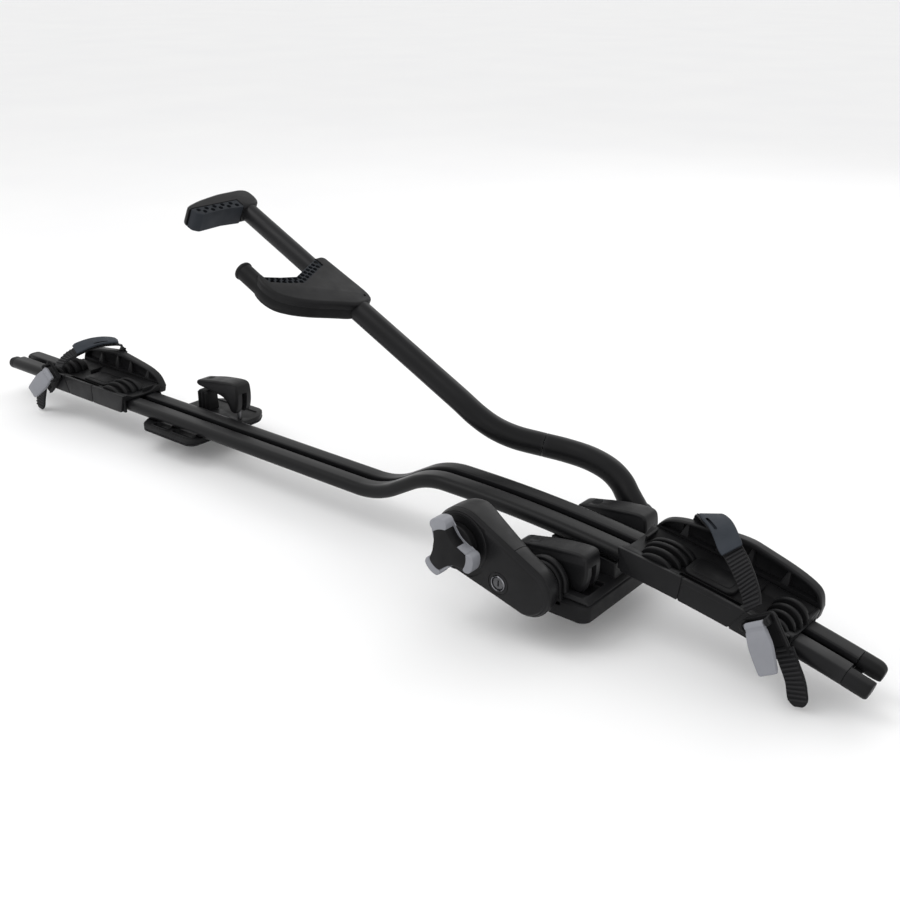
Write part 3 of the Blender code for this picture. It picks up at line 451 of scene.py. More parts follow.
def follow_rail(mesh, start, facing):
    """Bend a straight mesh (u along the rail, v across, w above its top) onto the rail."""
    bm = bmesh.new()
    bm.from_mesh(mesh)
    reach = max(abs(v.co.x) for v in bm.verts)
    count = max(1, round(2 * reach / 24))
    for i in range(1, count):
        bmesh.ops.bisect_plane(bm, geom=bm.verts[:] + bm.edges[:] + bm.faces[:], dist=0.001,
                               plane_co=(-reach + 2 * reach * i / count, 0, 0), plane_no=(1, 0, 0))
    for vert in bm.verts:
        x, z, slope = rail_point(start + facing * vert.co.x)
        height = vert.co.z
        vert.co.x = x - height * sin(slope)
        vert.co.z = z + height * cos(slope)
    if facing < 0:
        bmesh.ops.reverse_faces(bm, faces=bm.faces)
    return mesh_of(bm)


# ---- Rail
def rail_section():
    """Two rounded lobes and a T-slot with rounded lips."""
    half, lobe = RAIL_WIDTH / 2, RAIL_HEIGHT / 2
    right = [(0, -12), (9, -12), (9, -6.5), (5.2, -6.5), (5.2, -1.8), (5.6, -0.9), (6.6, -0.3),
             (8, 0), (18, 0)]
    right += arc((half - lobe, -lobe), lobe, 90, -90, 18) + [(12, -RAIL_HEIGHT)]
    return right + [(-y, z) for y, z in reversed(right[1:])]


def build_rail():
    places, distance = [], 0.0
    for length, curvature in rail_segments():
        step = 3.0 if abs(curvature) > 0.001 else (12.0 if curvature else 60.0)
        count = max(1, ceil(length / step))
        places += [distance + length * i / count for i in range(count)]
        distance += length
    rings = []
    for place in places + [distance]:
        x, z, slope = rail_point(place)
        rings.append([(x - w * sin(slope), y, z + w * cos(slope))
                      for y, w in rail_section()])
    piece("rail_extrusion", skin(rings), "metal", "rail", sharp=30)
    for name, start, facing, reach in (("rail_front_plug", rail_length(), 1, 27.0),
                                       ("rail_rear_plug", 0.0, -1, 12.0)):
        plug = follow_rail(plug_mesh(reach), start, facing)
        piece(name, plug, "plastic", name.replace("plug", "cap"))


def plug_mesh(reach):
    """A plug for the rail's end: a rounded tip on each lobe, and a low web between them."""
    parts = [shaped(block((0.3, -12, -RAIL_HEIGHT + 0.2), (9, 12, -12.4)), rounding(0.8, 3))]
    for side, corner in ((-1, 4.0), (1, 11.0)):
        rings = []
        tip = [reach - corner * (1 - sin(radians(15 * k))) for k in range(7)]
        for along in [0.3, 0.8] + [a for a in tip if a > 0.9]:
            past = max(0.0, along - (reach - corner)) / corner
            fall = corner * (1 - sqrt(max(0.0, 1 - past ** 2))) * 0.8
            seam = 0.5 if along < 0.5 else 0.0
            inner, outer = 7.2 + seam, RAIL_WIDTH / 2 - seam - fall
            low, high = -RAIL_HEIGHT + seam + fall * 0.5, -0.1 - seam - fall * 0.45
            round_off = min(9.0, (outer - inner) / 2 - 0.2, (high - low) / 2 - 0.2)
            rings.append([(along, side * y, z) for y, z in
                          rounded_box((inner, low), (outer, high), round_off, 8)])
        parts.append(skin(rings))
    return merge(parts)


# ---- Front foot
def arch(radius, base):
    """A cheek round the pivot, from its base up."""
    x, z = PIVOT.x, PIVOT.z
    return ([(x + radius + 3, base), (x + radius + 0.6, z - 6)]
            + arc((x, z), radius, 0, 180, 28) + [(x - radius - 1.2, z - 6), (x - radius - 6, base)])


def shaft_bore(low, high):
    return rod(at_y(PIVOT, low), at_y(PIVOT, high), SHAFT_BORE_R)


def build_foot():
    outline = rounded_box((-FOOT_X, -FOOT_Y), (FOOT_X, FOOT_Y), 12, 10)
    tray = slab(outline, 0, PARTING_Z - 0.4, "Z", 1.8, 4,
                cut=[block((-38.3, -80.9, -5), (38.3, 80.9, 5.3))])
    step = rounded_box((-FOOT_X + 1.6, -FOOT_Y + 1.6), (FOOT_X - 1.6, FOOT_Y - 1.6), 11, 8)
    lip = slab(step, PARTING_Z - 2, PARTING_Z + 0.1, "Z", 0.5, 2)
    cheeks = [slab(arch(24.0, 12), low, low + 5.5, "Y", 1.8, 4, cut=[shaft_bore(low - 5, low + 12)])
              for low in (-FOOT_Y, FOOT_Y - 5.5)]
    piece("foot_lower_shell", merge([tray, lip] + cheeks), "plastic", "foot_tray")

    base, inner = PARTING_Z + 0.5, FOOT_Y - 6.0
    deck = [(-FOOT_X + 1, base), (FOOT_X - 1, base), (FOOT_X - 2.5, base + 2.4), (FOOT_X - 9, DECK_Z),
            (-FOOT_X + 5, DECK_Z), (-FOOT_X + 1, base + 3)]
    pockets = [block((-10, side * LEVER_Y - 16, 21.5), (38, side * LEVER_Y + 16, 70))
               for side in (-1, 1)]
    parts = [shaped(plate(deck, -inner, inner, "Y"), cutting(*pockets), rounding(1.6, 4))]
    along = [FOOT_X - 7, 34.0, 20.0, 5.0, -10.0, -25.0, -FOOT_X + 4]
    saddle = [(along[-1], base + 3), (along[0], base + 3)]
    saddle += [(x, rail_point(rail_distance(x))[1] - RAIL_HEIGHT - 0.7) for x in along]
    parts.append(slab(saddle, -27, 27, "Y", 1.5, 3))
    for side in (-1, 1):
        low, high = sorted((side * (inner - 7.5), side * inner))
        parts.append(slab(arch(27.0, base + 1), low, high, "Y", 2.4, 5,
                          cut=[shaft_bore(low - 3, high + 3)]))
        rim = [(0, 21.5), (1.1, 21.5), (1.6, 21.0), (1.6, 18.6), (1.1, 18.1), (0.2, 18.1)]
        parts.append(lathe(at_y(PIVOT, side * (inner - 0.5)), (0, side, 0), rim, 64))
    piece("foot_upper_shell", merge(parts), "cover", "foot_cover")


# ---- Cam levers
LEVER_OUTLINE = [(-80, 4), (-77, 9.5), (-60, 12.5), (-38, 17.0), (-18, 19.5), (4, 21.5), (12, 18.5),
                 (14, 8), (14, -7), (10, -22), (4, -26), (-4, -23), (-9, -12), (-18, -4.5),
                 (-38, -2.5), (-60, -0.5), (-76, 0.5)]


def build_lever(name, pivot, y, cad):
    """Cam lever: rounded handle with a thumb dimple, and a forked cam end on its pin."""
    x, z = pivot
    outline = corner_cut([(x + a, z + b) for a, b in LEVER_OUTLINE])
    low, high = y - LEVER_WIDTH / 2, y + LEVER_WIDTH / 2
    fork = block((x - 5.5, y - 4.5, z - 40), (x + 40, y + 4.5, z + 5.5))
    dimple = lathe((x - 61, y, z + 21), (0, 0, -1),
                   [(0, 11), (5, 10.6), (8.0, 8.6), (9.6, 5.5), (10.2, 2)], 32)
    mesh = shaped(plate(outline, low, high, "Y"), rounding(4.6, 5, 55), cutting(fork, dimple),
                  rounding(0.5, 2, 50))
    for vert in mesh.vertices:
        share = clamp((x - 8 - vert.co.x) / 70)
        vert.co.y = y + (vert.co.y - y) * (1 - 0.16 * share ** 1.5)
    piece(name, mesh, "cover", cad)


# ---- Rear foot
def build_rear_foot():
    (x0, x1), (y0, y1), (z0, z1) = REAR_FOOT_X, REAR_FOOT_Y, REAR_FOOT_Z
    outline = eased([(x0 + 14, y0), (x1 - 8, y0), (x1, y0 + 8), (x1, y1 - 22), (x1 - 18, y1),
                     (x0 + 30, y1), (x0, y1 - 26), (x0, y0 + 20)], 9)
    slots = [plate(rounded_box((low, SLOT_Y[0]), (high, SLOT_Y[1]), 5.5, 6), -5, 20)
             for low, high in STRAP_SLOTS]
    bolt_x = REAR_LEVER_PIVOT[0]
    bolt = rod((bolt_x, LEVER_Y, -5), (bolt_x, LEVER_Y, 20), 3.4, 20)
    rims = [slab(rounded_box((low - 3, SLOT_Y[0] - 3), (high + 3, SLOT_Y[1] + 3), 8, 6),
                 z1 - 1, z1 + 1.0, "Z", 0.6, 2, cut=[slot])
            for (low, high), slot in zip(STRAP_SLOTS, slots)]
    body = shaped(plate(outline, z0, z1), cutting(*slots, bolt), rounding(1.3, 3))
    stiffeners = [shaped(block((x0 + 22, y, z1 - 1), (x1 - 16, y + 2.4, z1 + 1.3)),
                         rounding(0.6, 2)) for y in (-14, 12, 20, 92)]
    piece("rear_foot_shell", merge([body] + rims + stiffeners), "plastic", "rear_foot_plate")
    pad = shaped(plate(outline, 0, z0 - 0.3), cutting(*slots), rounding(0.8, 2))
    piece("rear_foot_sole", pad, "rubber", "rear_foot_pad")

    top = z1 + 0.3
    post = slab([(-739, top), (-713, top), (-715, 38), (-718, 41), (-733, 41), (-737, 38)],
                LEVER_Y - 10, LEVER_Y + 10, "Y", 2.2, 4)
    ribs = [shaped(block((-736 + 8 * i, LEVER_Y - 11.2, top + 1), (-733 + 8 * i, LEVER_Y + 11.2, 38)),
                   rounding(0.9, 3)) for i in range(3)]
    piece("rear_lever_rest", merge([post] + ribs), "plastic", "rear_rest_post")
    bracket = eased([(30.2, top), (44, top), (44, top + 5), (35.5, top + 11), (34.5, 21), (30.2, 21)],
                    2.0, 3)
    gusset = [(33, top + 1), (43.6, top + 1), (43.6, top + 5), (34, 20.6), (33, 20.6)]
    gussets = [slab(gusset, x, x + 3, "X", 0.6, 2) for x in (-734, -714, -679, -659)]
    body = slab(bracket, -735, -655, "X", 1.0, 3)
    piece("rear_rail_clamp", merge([body] + gussets), "plastic", "rear_rail_bracket")


# ---- Arm
def arm_matrix():
    rise = radians(ARM_RISE)
    along = Vector((-cos(rise), 0, sin(rise)))
    normal = Vector((sin(rise), 0, cos(rise)))
    turn = Matrix((along, (0, 1, 0), -normal)).transposed().to_4x4()
    return Matrix.Translation(PIVOT - ARM_OFFSET * normal) @ turn


def on_arm(distance):
    return arm_matrix() @ Vector((distance, ARM_Y, 0.0))


def arm_plate(outline, low, high):
    mesh = plate(outline, low, high)
    mesh.transform(arm_matrix())
    return mesh


def build_arm():
    """Cast link on the pivot, a seam, and the drawn tube bent up to the claw."""
    points = [(-12, LINK_Y, 35), (-27, LINK_Y, 54), (-38, LINK_Y, 69), (-55, 108, 81), (-80, 105, 89),
              (-110, 98.5, 93.5), (-140, 87.5, 97.5), (-168, 74.5, 103), (-191, 64.5, 112),
              (-213, 57.5, 125), on_arm(253), on_arm(300)]
    steps = 10
    line = smooth_path(points, steps)
    seam = 5 * steps + 8
    across = Vector((0, 1, 0))
    link = stations_along(line[:seam + 1], across)
    casting = []
    for i, station in enumerate(link):
        left = 1 - i / (len(link) - 1)
        radius, ridge = TUBE_R + 0.3 * left, 0.9 * left ** 0.5
        outline = [(a, b + (ridge if b > radius * 0.9 else 0.0)) for a, b in circle(radius, 56)]
        casting.append(ring_at(station, outline))
    casting.append(ring_at(link[-1], circle(TUBE_R - 0.6, 56)))
    boss = lathe(at_y(PIVOT, FOOT_Y + 1.5), (0, 1, 0),
                 [(0, 13.8), (0.6, 14.8), (1.6, 15.2), (21, 15.2), (24.5, 14.4), (26.4, 12.6),
                  (27.0, 10.4), (26.6, 9.8), (25.6, 9.4), (25.6, 0.5)], 64)
    piece("arm_lower_link", merge([skin(casting), boss]), "metal", "arm_link", sharp=50)

    path = line[seam + 1:] + [on_arm(s) for s in (330, 360, 400, TUBE_END)]
    path = [line[seam].lerp(line[seam + 1], 0.35)] + path
    upper = stations_along(path, across)
    rings = [ring_at(upper[0], circle(TUBE_R - 0.8, 56)), ring_at(upper[0], circle(TUBE_R - 0.1, 56))]
    rings += [ring_at(station, circle(TUBE_R, 56)) for station in upper[1:]]
    rings += [ring_at(upper[-1], circle(INNER_TUBE_R + 0.5, 56))]
    piece("arm_outer_tube", skin(rings), "metal", "arm_tube", sharp=50)
    inner = rod(on_arm(INNER_START), on_arm(INNER_END), INNER_TUBE_R, 56)
    piece("arm_inner_tube", inner, "metal", "inner_tube")


def honeycomb(line, low, high, radius, pitch, spread, first=0.6):
    """Hexagonal pockets set zigzag along a line in the arm's plan."""
    cells, left, count = [], pitch * first, 0
    for a, b in zip(line, line[1:]):
        a, b = Vector(a), Vector(b)
        way = (b - a).normalized()
        across = Vector((-way.y, way.x))
        while left < (b - a).length:
            centre = a + way * left + across * spread * (1 if count % 2 else -1)
            cells.append(arm_plate(arc(centre, radius, 30, 330, 5), low, high))
            left += pitch
            count += 1
        left -= (b - a).length
    return cells


def mouth_line(depth):
    """The claw's V a distance inside its face, run on over the root of the hook."""
    shares = (1.0, 1.0, 0.95, 0.85)
    return [(x - depth * share, y) for (x, y), share in zip(MOUTH, shares)]


def build_claw():
    half = JAW_HALF
    outer = [(434, 41), (432, 55), (434, 70), (440, 75), (452, 76.5), (531, 72)]
    hook = [(530, 40), (530, -41), (524, -49), (510, -52.5), (495, -51), (482, -45), (468, -29),
            (456, -8), (444, 20)]
    plan = eased(outer + hook, 9, 6)
    back = mouth_line(CLAW_PAD_DEPTH + 0.3)
    room = arm_plate([(620, 56.3), (back[0][0], 56.3)] + back + [(560, -41.3), (620, -41.3)], -30, 30)
    body = cushion(inset_by(plan, 1.2), -5.2, half - 0.5, 0.4, 6.0)
    body.transform(arm_matrix())
    body = shaped(body, cutting(room))
    elbow = [(472, 14), (477, -8), (485, -25), (495, -36), (508, -41), (524, -41), (540, -41),
             (552, -41)]
    hook_stations = stations_along(smooth_path([(x, y, 0) for x, y in elbow], 6))
    rings = [ring_at(station, circle(14.6 - 3.2 * smoothstep((station[0].x - 492) / 27), 44))
             for station in hook_stations]
    end = hook_stations[-1]
    for ahead, radius in ((0.3, 11.9), (1.0, 12.4), (3.0, 12.4), (4.2, 11.8), (5.6, 10.2),
                          (6.4, 7.5), (6.8, 3.0)):
        rings.append([p + end[1] * ahead for p in ring_at(end, circle(radius, 44))])
    bar = skin(rings)
    bar.transform(arm_matrix())
    piece("claw_lower_body", merge([body, bar]), "plastic", "claw_body")
    head = [(SCREW[0] + a, SCREW[1] + b) for a, b in circle(1.8, 20)]
    screw = arm_plate(head, -half - 4, -half + 1.0)
    top = cushion(plan, -half - 1.4, -5.4, 4.5, 0.5)
    top.transform(arm_matrix())
    piece("claw_top_plate", shaped(top, cutting(room), cutting(screw)), "cover", "claw_cover")

    pad_plan = mouth_line(0.0) + list(reversed(mouth_line(CLAW_PAD_DEPTH)))
    rows = []
    for depth, first in ((0.29, 0.6), (0.71, 1.1)):
        row = mouth_line(CLAW_PAD_DEPTH * depth)
        rows += honeycomb(row, -half - 2, -half + 9, 3.3, 8.0, 0.0, first)
    pad = shaped(arm_plate(pad_plan, -half + 0.2, half), rounding(0.7, 2, 40), cutting(*rows))
    piece("claw_lower_pad", pad, "dark_pad", "claw_pad")


def build_upper_jaw():
    half = JAW_HALF
    outline = eased([(655, -30), (661, -36), (670, -39), (679, -37), (686, -12), (691, 22),
                     (691.5, 62), (686, 72), (672, 74), (660, 71), (655, 60)], 8, 5)
    room = arm_plate([(640, -60), (671.5, -60), (671.5, 41), (640, 41)], -30, 30)
    jaw = cushion(outline, -half, half, 5.0, 5.0)
    jaw.transform(arm_matrix())
    jaw = shaped(jaw, cutting(room), rounding(0.6, 2, 50))
    piece("upper_jaw_body", jaw, "cover", "upper_jaw")
    plan = [(671.2, 40.7), (655, 40.7), (657.5, 10), (655.5, -28), (661, -35.5), (671.2, -36.5)]
    cells = honeycomb([(663.6, 37), (664.8, 8), (663.6, -32)], -half - 2, -half + 9, 3.4, 6.7, 2.6)
    pad = shaped(arm_plate(eased(plan, 2.5, 4), -half + 0.6, half - 0.5), rounding(1.2, 4, 30),
                 cutting(*cells))
    piece("upper_jaw_cushion", pad, "dark_pad", "upper_jaw_pad")


# ---- Housing, lock and knob
def housing_ring(y, inset_hub, inset_drum, depth=0.0):
    """Round the pivot's hub and the knob's drum, and along the lines that touch both.

    depth is the share of the way from y to the back, which lies further back at the drum.
    """
    c1, r1 = (PIVOT.x, PIVOT.z), HUB_R - inset_hub
    c2, r2 = (KNOB_CENTRE.x, KNOB_CENTRE.z), DRUM_R - inset_drum
    heading = degrees(atan2(c2[1] - c1[1], c2[0] - c1[0]))
    spread = degrees(acos((r1 - r2) / dist(c1, c2)))
    outline = (arc(c1, r1, heading + spread, heading + 360 - spread, 44)
               + arc(c2, r2, heading - spread, heading + spread, 44))
    made = []
    for index, (x, z) in enumerate(outline):
        made.append((x, z))
        after = outline[(index + 1) % len(outline)]
        if dist((x, z), after) > 20:
            made += [(x + (after[0] - x) * k / 16, z + (after[1] - z) * k / 16) for k in range(1, 16)]
    ring = []
    for x, z in made:
        above = ((x - c1[0]) * (c2[1] - c1[1]) - (z - c1[1]) * (c2[0] - c1[0])) / dist(c1, c2)
        upper = clamp(0.5 + 0.5 * above / max(r1, r2))
        share = upper * clamp((-18 - x) / 70) + (1 - upper) * smoothstep((-68 - x) / 28)
        back = HUB_BACK + (DRUM_BACK - HUB_BACK) * share
        ring.append((x, y + depth * (back - y), z))
    return ring


def build_housing():
    face = HOUSING_FACE
    rim = [(-121.6, 3.4, 2.0), (-121.3, 2.7, 1.5), (-120.2, 1.9, 1.1), (-118.2, 0.9, 0.5),
           (-117.6, 0.8, 0.5), (-117.2, 0.1, 0.1), (-116.6, 0, 0)]
    slope = [(0.05, 0.0, 0.0), (0.2, 0.1, 0.0), (0.4, 0.5, 0.1), (0.6, 1.2, 0.4), (0.75, 2.2, 1.0),
             (0.86, 3.4, 1.8), (0.93, 4.9, 3.0), (0.975, 6.6, 4.6), (1.0, 9.5, 7.5)]
    rings = [housing_ring(*row) for row in rim]
    rings += [housing_ring(-116.6, hub, drum, depth=share) for share, hub, drum in slope]
    shell = skin(rings)
    lock_hole = rod(at_y(LOCK_CENTRE, -140), at_y(LOCK_CENTRE, -108), 9.2, 48)
    hub = lathe(at_y(PIVOT, -96), (0, 1, 0), [(0, 19), (2.2, 18.4), (3.0, 17.6), (3.2, 14)], 56)
    lid = PIVOT.x - 17
    seam = skin([[(lid - 0.35, y, PIVOT.z + 26), (lid + 0.35, y, PIVOT.z + 26),
                  (lid + 0.35, y, PIVOT.z + 60), (lid - 0.35, y, PIVOT.z + 60)] for y in (-118, -90)])
    piece("housing_main_shell", merge([shaped(shell, cutting(lock_hole, seam)), hub]), "cover",
          "housing_shell")

    rows = [(face, 6.2, 3.6), (face + 0.12, 5.8, 3.2), (face + 0.4, 5.3, 2.8), (face + 1.4, 4.3, 2.2),
            (face + 2.6, 3.6, 1.7)]
    recess = rod(at_y(KNOB_CENTRE, face - 5), at_y(KNOB_CENTRE, face + 1.3), 39.6, 96)
    plate_mesh = shaped(skin([housing_ring(*row) for row in rows]), cutting(recess),
                        cutting(lock_groove(12.2, 13.0, 0.6)), cutting(lock_hole))
    collar = [(-0.6, 34.5), (0.4, 34.5), (0.8, 34.1), (0.8, 31.6), (0.4, 31.2), (-0.6, 31.2)]
    collar = lathe(at_y(KNOB_CENTRE, face + 1.3), (0, -1, 0), collar, 96)
    piece("housing_front_plate", merge([plate_mesh, collar]), "cover", "housing_face")

    bezel = lathe(at_y(LOCK_CENTRE, face + 3.4), (0, -1, 0),
                  [(-8, 9.0), (3.8, 9.0), (4.4, 8.7), (4.7, 8.3), (4.4, 7.9), (3.8, 7.7), (1.0, 7.6),
                   (0.8, 1)], 64)
    piece("lock_ring", bezel, "chrome", "lock_bezel")
    slot = block((LOCK_CENTRE.x - 0.9, face - 4, LOCK_CENTRE.z - 3.6),
                 (LOCK_CENTRE.x + 0.9, face + 2.5, LOCK_CENTRE.z + 3.6))
    barrel = lathe(at_y(LOCK_CENTRE, -110), (0, -1, 0),
                   [(0, 7.2), (13.2, 7.2), (13.9, 6.7), (14.2, 5.8), (14.0, 5.3), (13.7, 4.9),
                    (13.7, 0.5)])
    piece("lock_plug", shaped(barrel, cutting(slot)), "steel", "lock_cylinder")


def lock_groove(inner, outer, depth):
    """The cutter for a groove round the lock."""
    start = Vector(at_y(LOCK_CENTRE, HOUSING_FACE - 1))
    return shaped(rod(start, start + Vector((0, 1 + depth, 0)), outer, 72),
                  cutting(rod(start - Vector((0, 3, 0)), start + Vector((0, 6, 0)), inner, 72)))


def lobe_points(lobe, shape):
    """Points of a lobe: shape is (angle from its middle, distance from the knob's axis)."""
    turned = [(radians(lobe + angle), radius) for angle, radius in shape]
    return [(KNOB_CENTRE.x + radius * cos(a), KNOB_CENTRE.z + radius * sin(a)) for a, radius in turned]


def knob_outline(shape):
    """The same points repeated round each of the three lobes."""
    return corner_cut([point for lobe in KNOB_LOBES for point in lobe_points(lobe, shape)])


def mirrored(half):
    return [(-angle, radius) for angle, radius in reversed(half)] + half


def build_knob():
    """A dark three-lobed core, a grey cap round each lobe's tip, and a grey flange behind."""
    core = knob_outline([(-60, 17.0)] + mirrored([(8, 28.6), (19, 27.0), (31, 20.5), (45, 17.4)]))
    grip = slab(core, KNOB_FRONT + 0.25, KNOB_BACK - 1.2, "Y", 1.2, 4, 50)
    collar = lathe(at_y(KNOB_CENTRE, KNOB_BACK), (0, 1, 0),
                   [(-1.4, 26), (0.6, 26.0), (1.4, 25.2), (2.0, 23.6), (10.0, 23.6), (10.2, 8)], 96)
    piece("knob_grip", merge([grip, collar]), "plastic", "knob_core")
    flange = knob_outline([(-60, 19.0)] + mirrored([(9, 34.5), (20, 31.5), (40, 22.0)]))
    for number, lobe in enumerate(KNOB_LOBES, 1):
        inner = 23.5 if number == 2 else 27.3
        tip = lobe_points(lobe, [(22, inner), (22, 31.5), (17, 35.6), (9, 36.8), (0, 37.0), (-9, 36.8),
                                 (-17, 35.6), (-22, 31.5), (-22, inner), (-10, inner), (0, inner),
                                 (10, inner)])
        wrap = lobe_points(lobe, [(18, 29.5), (24, 27.5), (32, 22.0), (40, 19.6), (43, 18.2),
                                  (40, 17.2), (30, 19.0), (20, 24.0)])
        parts = [slab(eased(tip, 2.0, 4), KNOB_FRONT, KNOB_BACK, "Y", 1.6, 4, 40),
                 slab(eased(wrap, 1.5, 3), KNOB_FRONT + 1.4, KNOB_BACK, "Y", 0.8, 3, 40)]
        if number == 1:
            parts.append(slab(flange, KNOB_BACK - 1.6, KNOB_BACK, "Y", 0.5, 3, 60))
        piece(f"knob_cap_{number}", merge(parts), "grey", f"knob_lobe_{number}")


# ---- Wheel holders
class Holder:
    def __init__(self, prefix, x, facing):
        self.prefix, self.facing, self.start = prefix, facing, rail_distance(x)

    def bent(self, mesh):
        return follow_rail(mesh, self.start, self.facing)

    def point(self, u, v, w):
        x, z, slope = rail_point(self.start + self.facing * u)
        return Vector((x - w * sin(slope), v, z + w * cos(slope)))

    def direction(self, v, w):
        slope = rail_point(self.start)[2]
        return Vector((-w * sin(slope), v, w * cos(slope))).normalized()

    def piece(self, name, mesh, finish, cad_node, sharp=38.0):
        piece(f"{self.prefix}_{name}", mesh, finish, f"{self.prefix}_{cad_node}", sharp=sharp)


def step_arch(u, low, high, radius, top):
    """One stepped arch of a tyre cradle: half-round from the side, rounded all over."""
    base = 3.0
    squash = (top - base) / radius
    crown = [(u + a, base + b * squash) for a, b in arc((0, 0), radius, 0, 180, 24)]
    outline = [(u + radius, base - 2)] + crown + [(u - radius, base - 2)]
    return slab(outline, low, high, "Y", 1.5, 4, 40)


def build_tray(holder):
    """Saddle over the rail, with a tyre trough, a raised middle panel and stepped cradles."""
    half = [(0, 0.3), (30.2, 0.3), (30.2, -17), (33.6, -17), (33.6, 8.0), (32.6, 9.0), (28.0, 9.0),
            (17.5, 4.3), (16.5, 4.0), (0, 3.2)]
    section = half + [(-y, z) for y, z in reversed(half[1:-1])]
    trough = block((-30, -31.6, 2.0), (40, -24.0, 14))
    parts = [slab(section, -HOLDER_HALF, HOLDER_HALF, "X", 0.9, 3, 30, cut=[trough]),
             slab(rounded_box((-32, -20), (25, 17), 9, 6), 2, 8.6, "Z", 1.4, 4),
             slab(rounded_box((-26, -14), (19, 11), 5, 5), 6, 9.3, "Z", 0.6, 3)]
    for centre, ridges in ((-58, ((20, 15.0), (23.5, 17.5), (26, 18.5), (27, 17.5))),
                           (78, ((15, 16.0), (17, 18.5), (19, 20.0), (20, 21.5)))):
        for low, (radius, top) in zip((-31, -19.5, -8, 4), ridges):
            parts.append(step_arch(centre, low, low + 5, radius, top))
            parts.append(step_arch(centre, low + 3.5, low + 13, radius - 3.5, top - 4.5))
    for u in (-90, 40, 96):
        parts.append(shaped(block((u - 1.6, 6, 3), (u + 1.6, 33, 9.4)), rounding(0.7, 3)))
    holder.piece("cradle", holder.bent(merge(parts)), "plastic", "tray")


def build_side_cover(holder):
    """Blank label panel and its two neighbours, with the seams between them."""
    inner, outer, half, low, high = 33.9, 37.4, HOLDER_HALF, -17.0, 10.0
    cells = [[(-half - 2, high), (-half + 6, low), (-23, low), (-23.6, high)],
             [(-22.6, high), (-22.0, low), (36, low), (48, high)],
             [(49.2, high), (37.2, low), (half - 8, low), (half - 2, high)]]
    parts = [slab(eased(cell, 1.6, 3), -outer, -inner, "Y", 0.7, 3, 30) for cell in cells]
    backing = plate([(-half, high - 1), (-half + 6, low + 1), (half - 9, low + 1),
                     (half - 4, high - 1)], -outer + 1.2, -inner, "Y")
    ridge = shaped(block((-18, -outer - 0.1, 4.6), (34, -outer + 0.5, 5.4)), rounding(0.25, 2))
    parts += [backing, ridge]
    holder.piece("side_panel", holder.bent(merge(parts)), "cover", "side_cover")


def build_hoop(holder):
    """High wheel wall: rounded rim, sunk inner panel and triangular stiffeners in it."""
    line = [HOOP_LINE[0]] + corner_cut(HOOP_LINE[1:-1], closed=False) + [HOOP_LINE[-1]]
    low, top = -6.0, 40.5
    squash = 1 - 15 / (top - low)
    inset = [(u * 0.942, max(11.0, low + 9 + (w - low) * squash)) for u, w in line[1:-1]]
    parts = [shaped(plate(line, 34, 46, "Y"), rounding(2.4, 5, 50),
                    cutting(plate(inset, 25, 42.2, "Y")), rounding(0.7, 3, 50))]
    for u, tall in ((-62, 25), (-20, 32), (13, 34), (55, 29)):
        gusset = skin([[(u - 6.4, 43, 9), (u + 6.4, 43, 9), (u + 1.2, 43, tall), (u - 1.2, 43, tall)],
                       [(u - 5.0, 34.6, 9), (u + 5.0, 34.6, 9), (u + 1.0, 40.8, tall),
                        (u - 1.0, 40.8, tall)]])
        parts.append(shaped(gusset, rounding(0.5, 2, 30)))
    panel = eased([(-92, 12), (-84, 20), (-66, 24.5), (-66, 12)], 2, 3)
    parts.append(slab(panel, 39, 43, "Y", 0.7, 2))
    holder.piece("wheel_wall", holder.bent(merge(parts)), "cover", "hoop")


def strap_stations(holder, line):
    """Stations along the strap with the outward direction turning over the tyre."""
    path = smooth_path([holder.point(*p) for p in line], STRAP_STEPS)
    made = []
    for i in range(len(path)):
        reach = STRAP_TOP if i < STRAP_TOP else len(path) - 31
        angle = radians(90 * min(1.0, (i - STRAP_TOP) / reach))
        made.append(station_at(path, i, holder.direction(-sin(angle), cos(angle))))
    return made


def between(stations, distance):
    """The station at a distance along the path."""
    for a, b in zip(stations, stations[1:]):
        step = (b[0] - a[0]).length
        if distance <= step:
            t = distance / step
            place, *ways = (a[k].lerp(b[k], t) for k in range(4))
            return place, *(way.normalized() for way in ways)
        distance -= step


def path_length(stations):
    return sum((b[0] - a[0]).length for a, b in zip(stations, stations[1:]))


def tapered(half, left, share, least):
    """Half the width of a round-ended strip, with left still to go to its end."""
    return sqrt(max(least, half ** 2 - (half - left) ** 2 * share)) if left < half else half


def ribbed(stations, first, last, tip=False):
    """A ladder strap: a thin band and square ribs across it, with a round tip if asked."""
    band = []
    for i, station in enumerate(stations):
        half = STRAP_WIDTH / 2
        if tip:
            half = tapered(half, path_length(stations[i:]), 0.82, 0.02)
        band.append(ring_at(station, rounded_box((-half, 0), (half, 2.0), 0.8, 3)))
    parts = [skin(band)]
    total, place = path_length(stations), first
    while place < total - last - 1.5:
        centre, along, side, out = between(stations, place)
        half = STRAP_WIDTH / 2 - 1.3
        if tip:
            half = tapered(half, total - place, 0.9, 4.0)
        profile = [(-1.5, 1.6), (-1.0, 3.1), (-0.6, 3.4), (0.7, 3.4), (1.1, 3.1), (1.5, 1.6)]
        parts.append(skin([[centre + along * a + out * b + side * s for a, b in profile]
                           for s in (-half, half)]))
        place += RIB_PITCH
    return merge(parts)


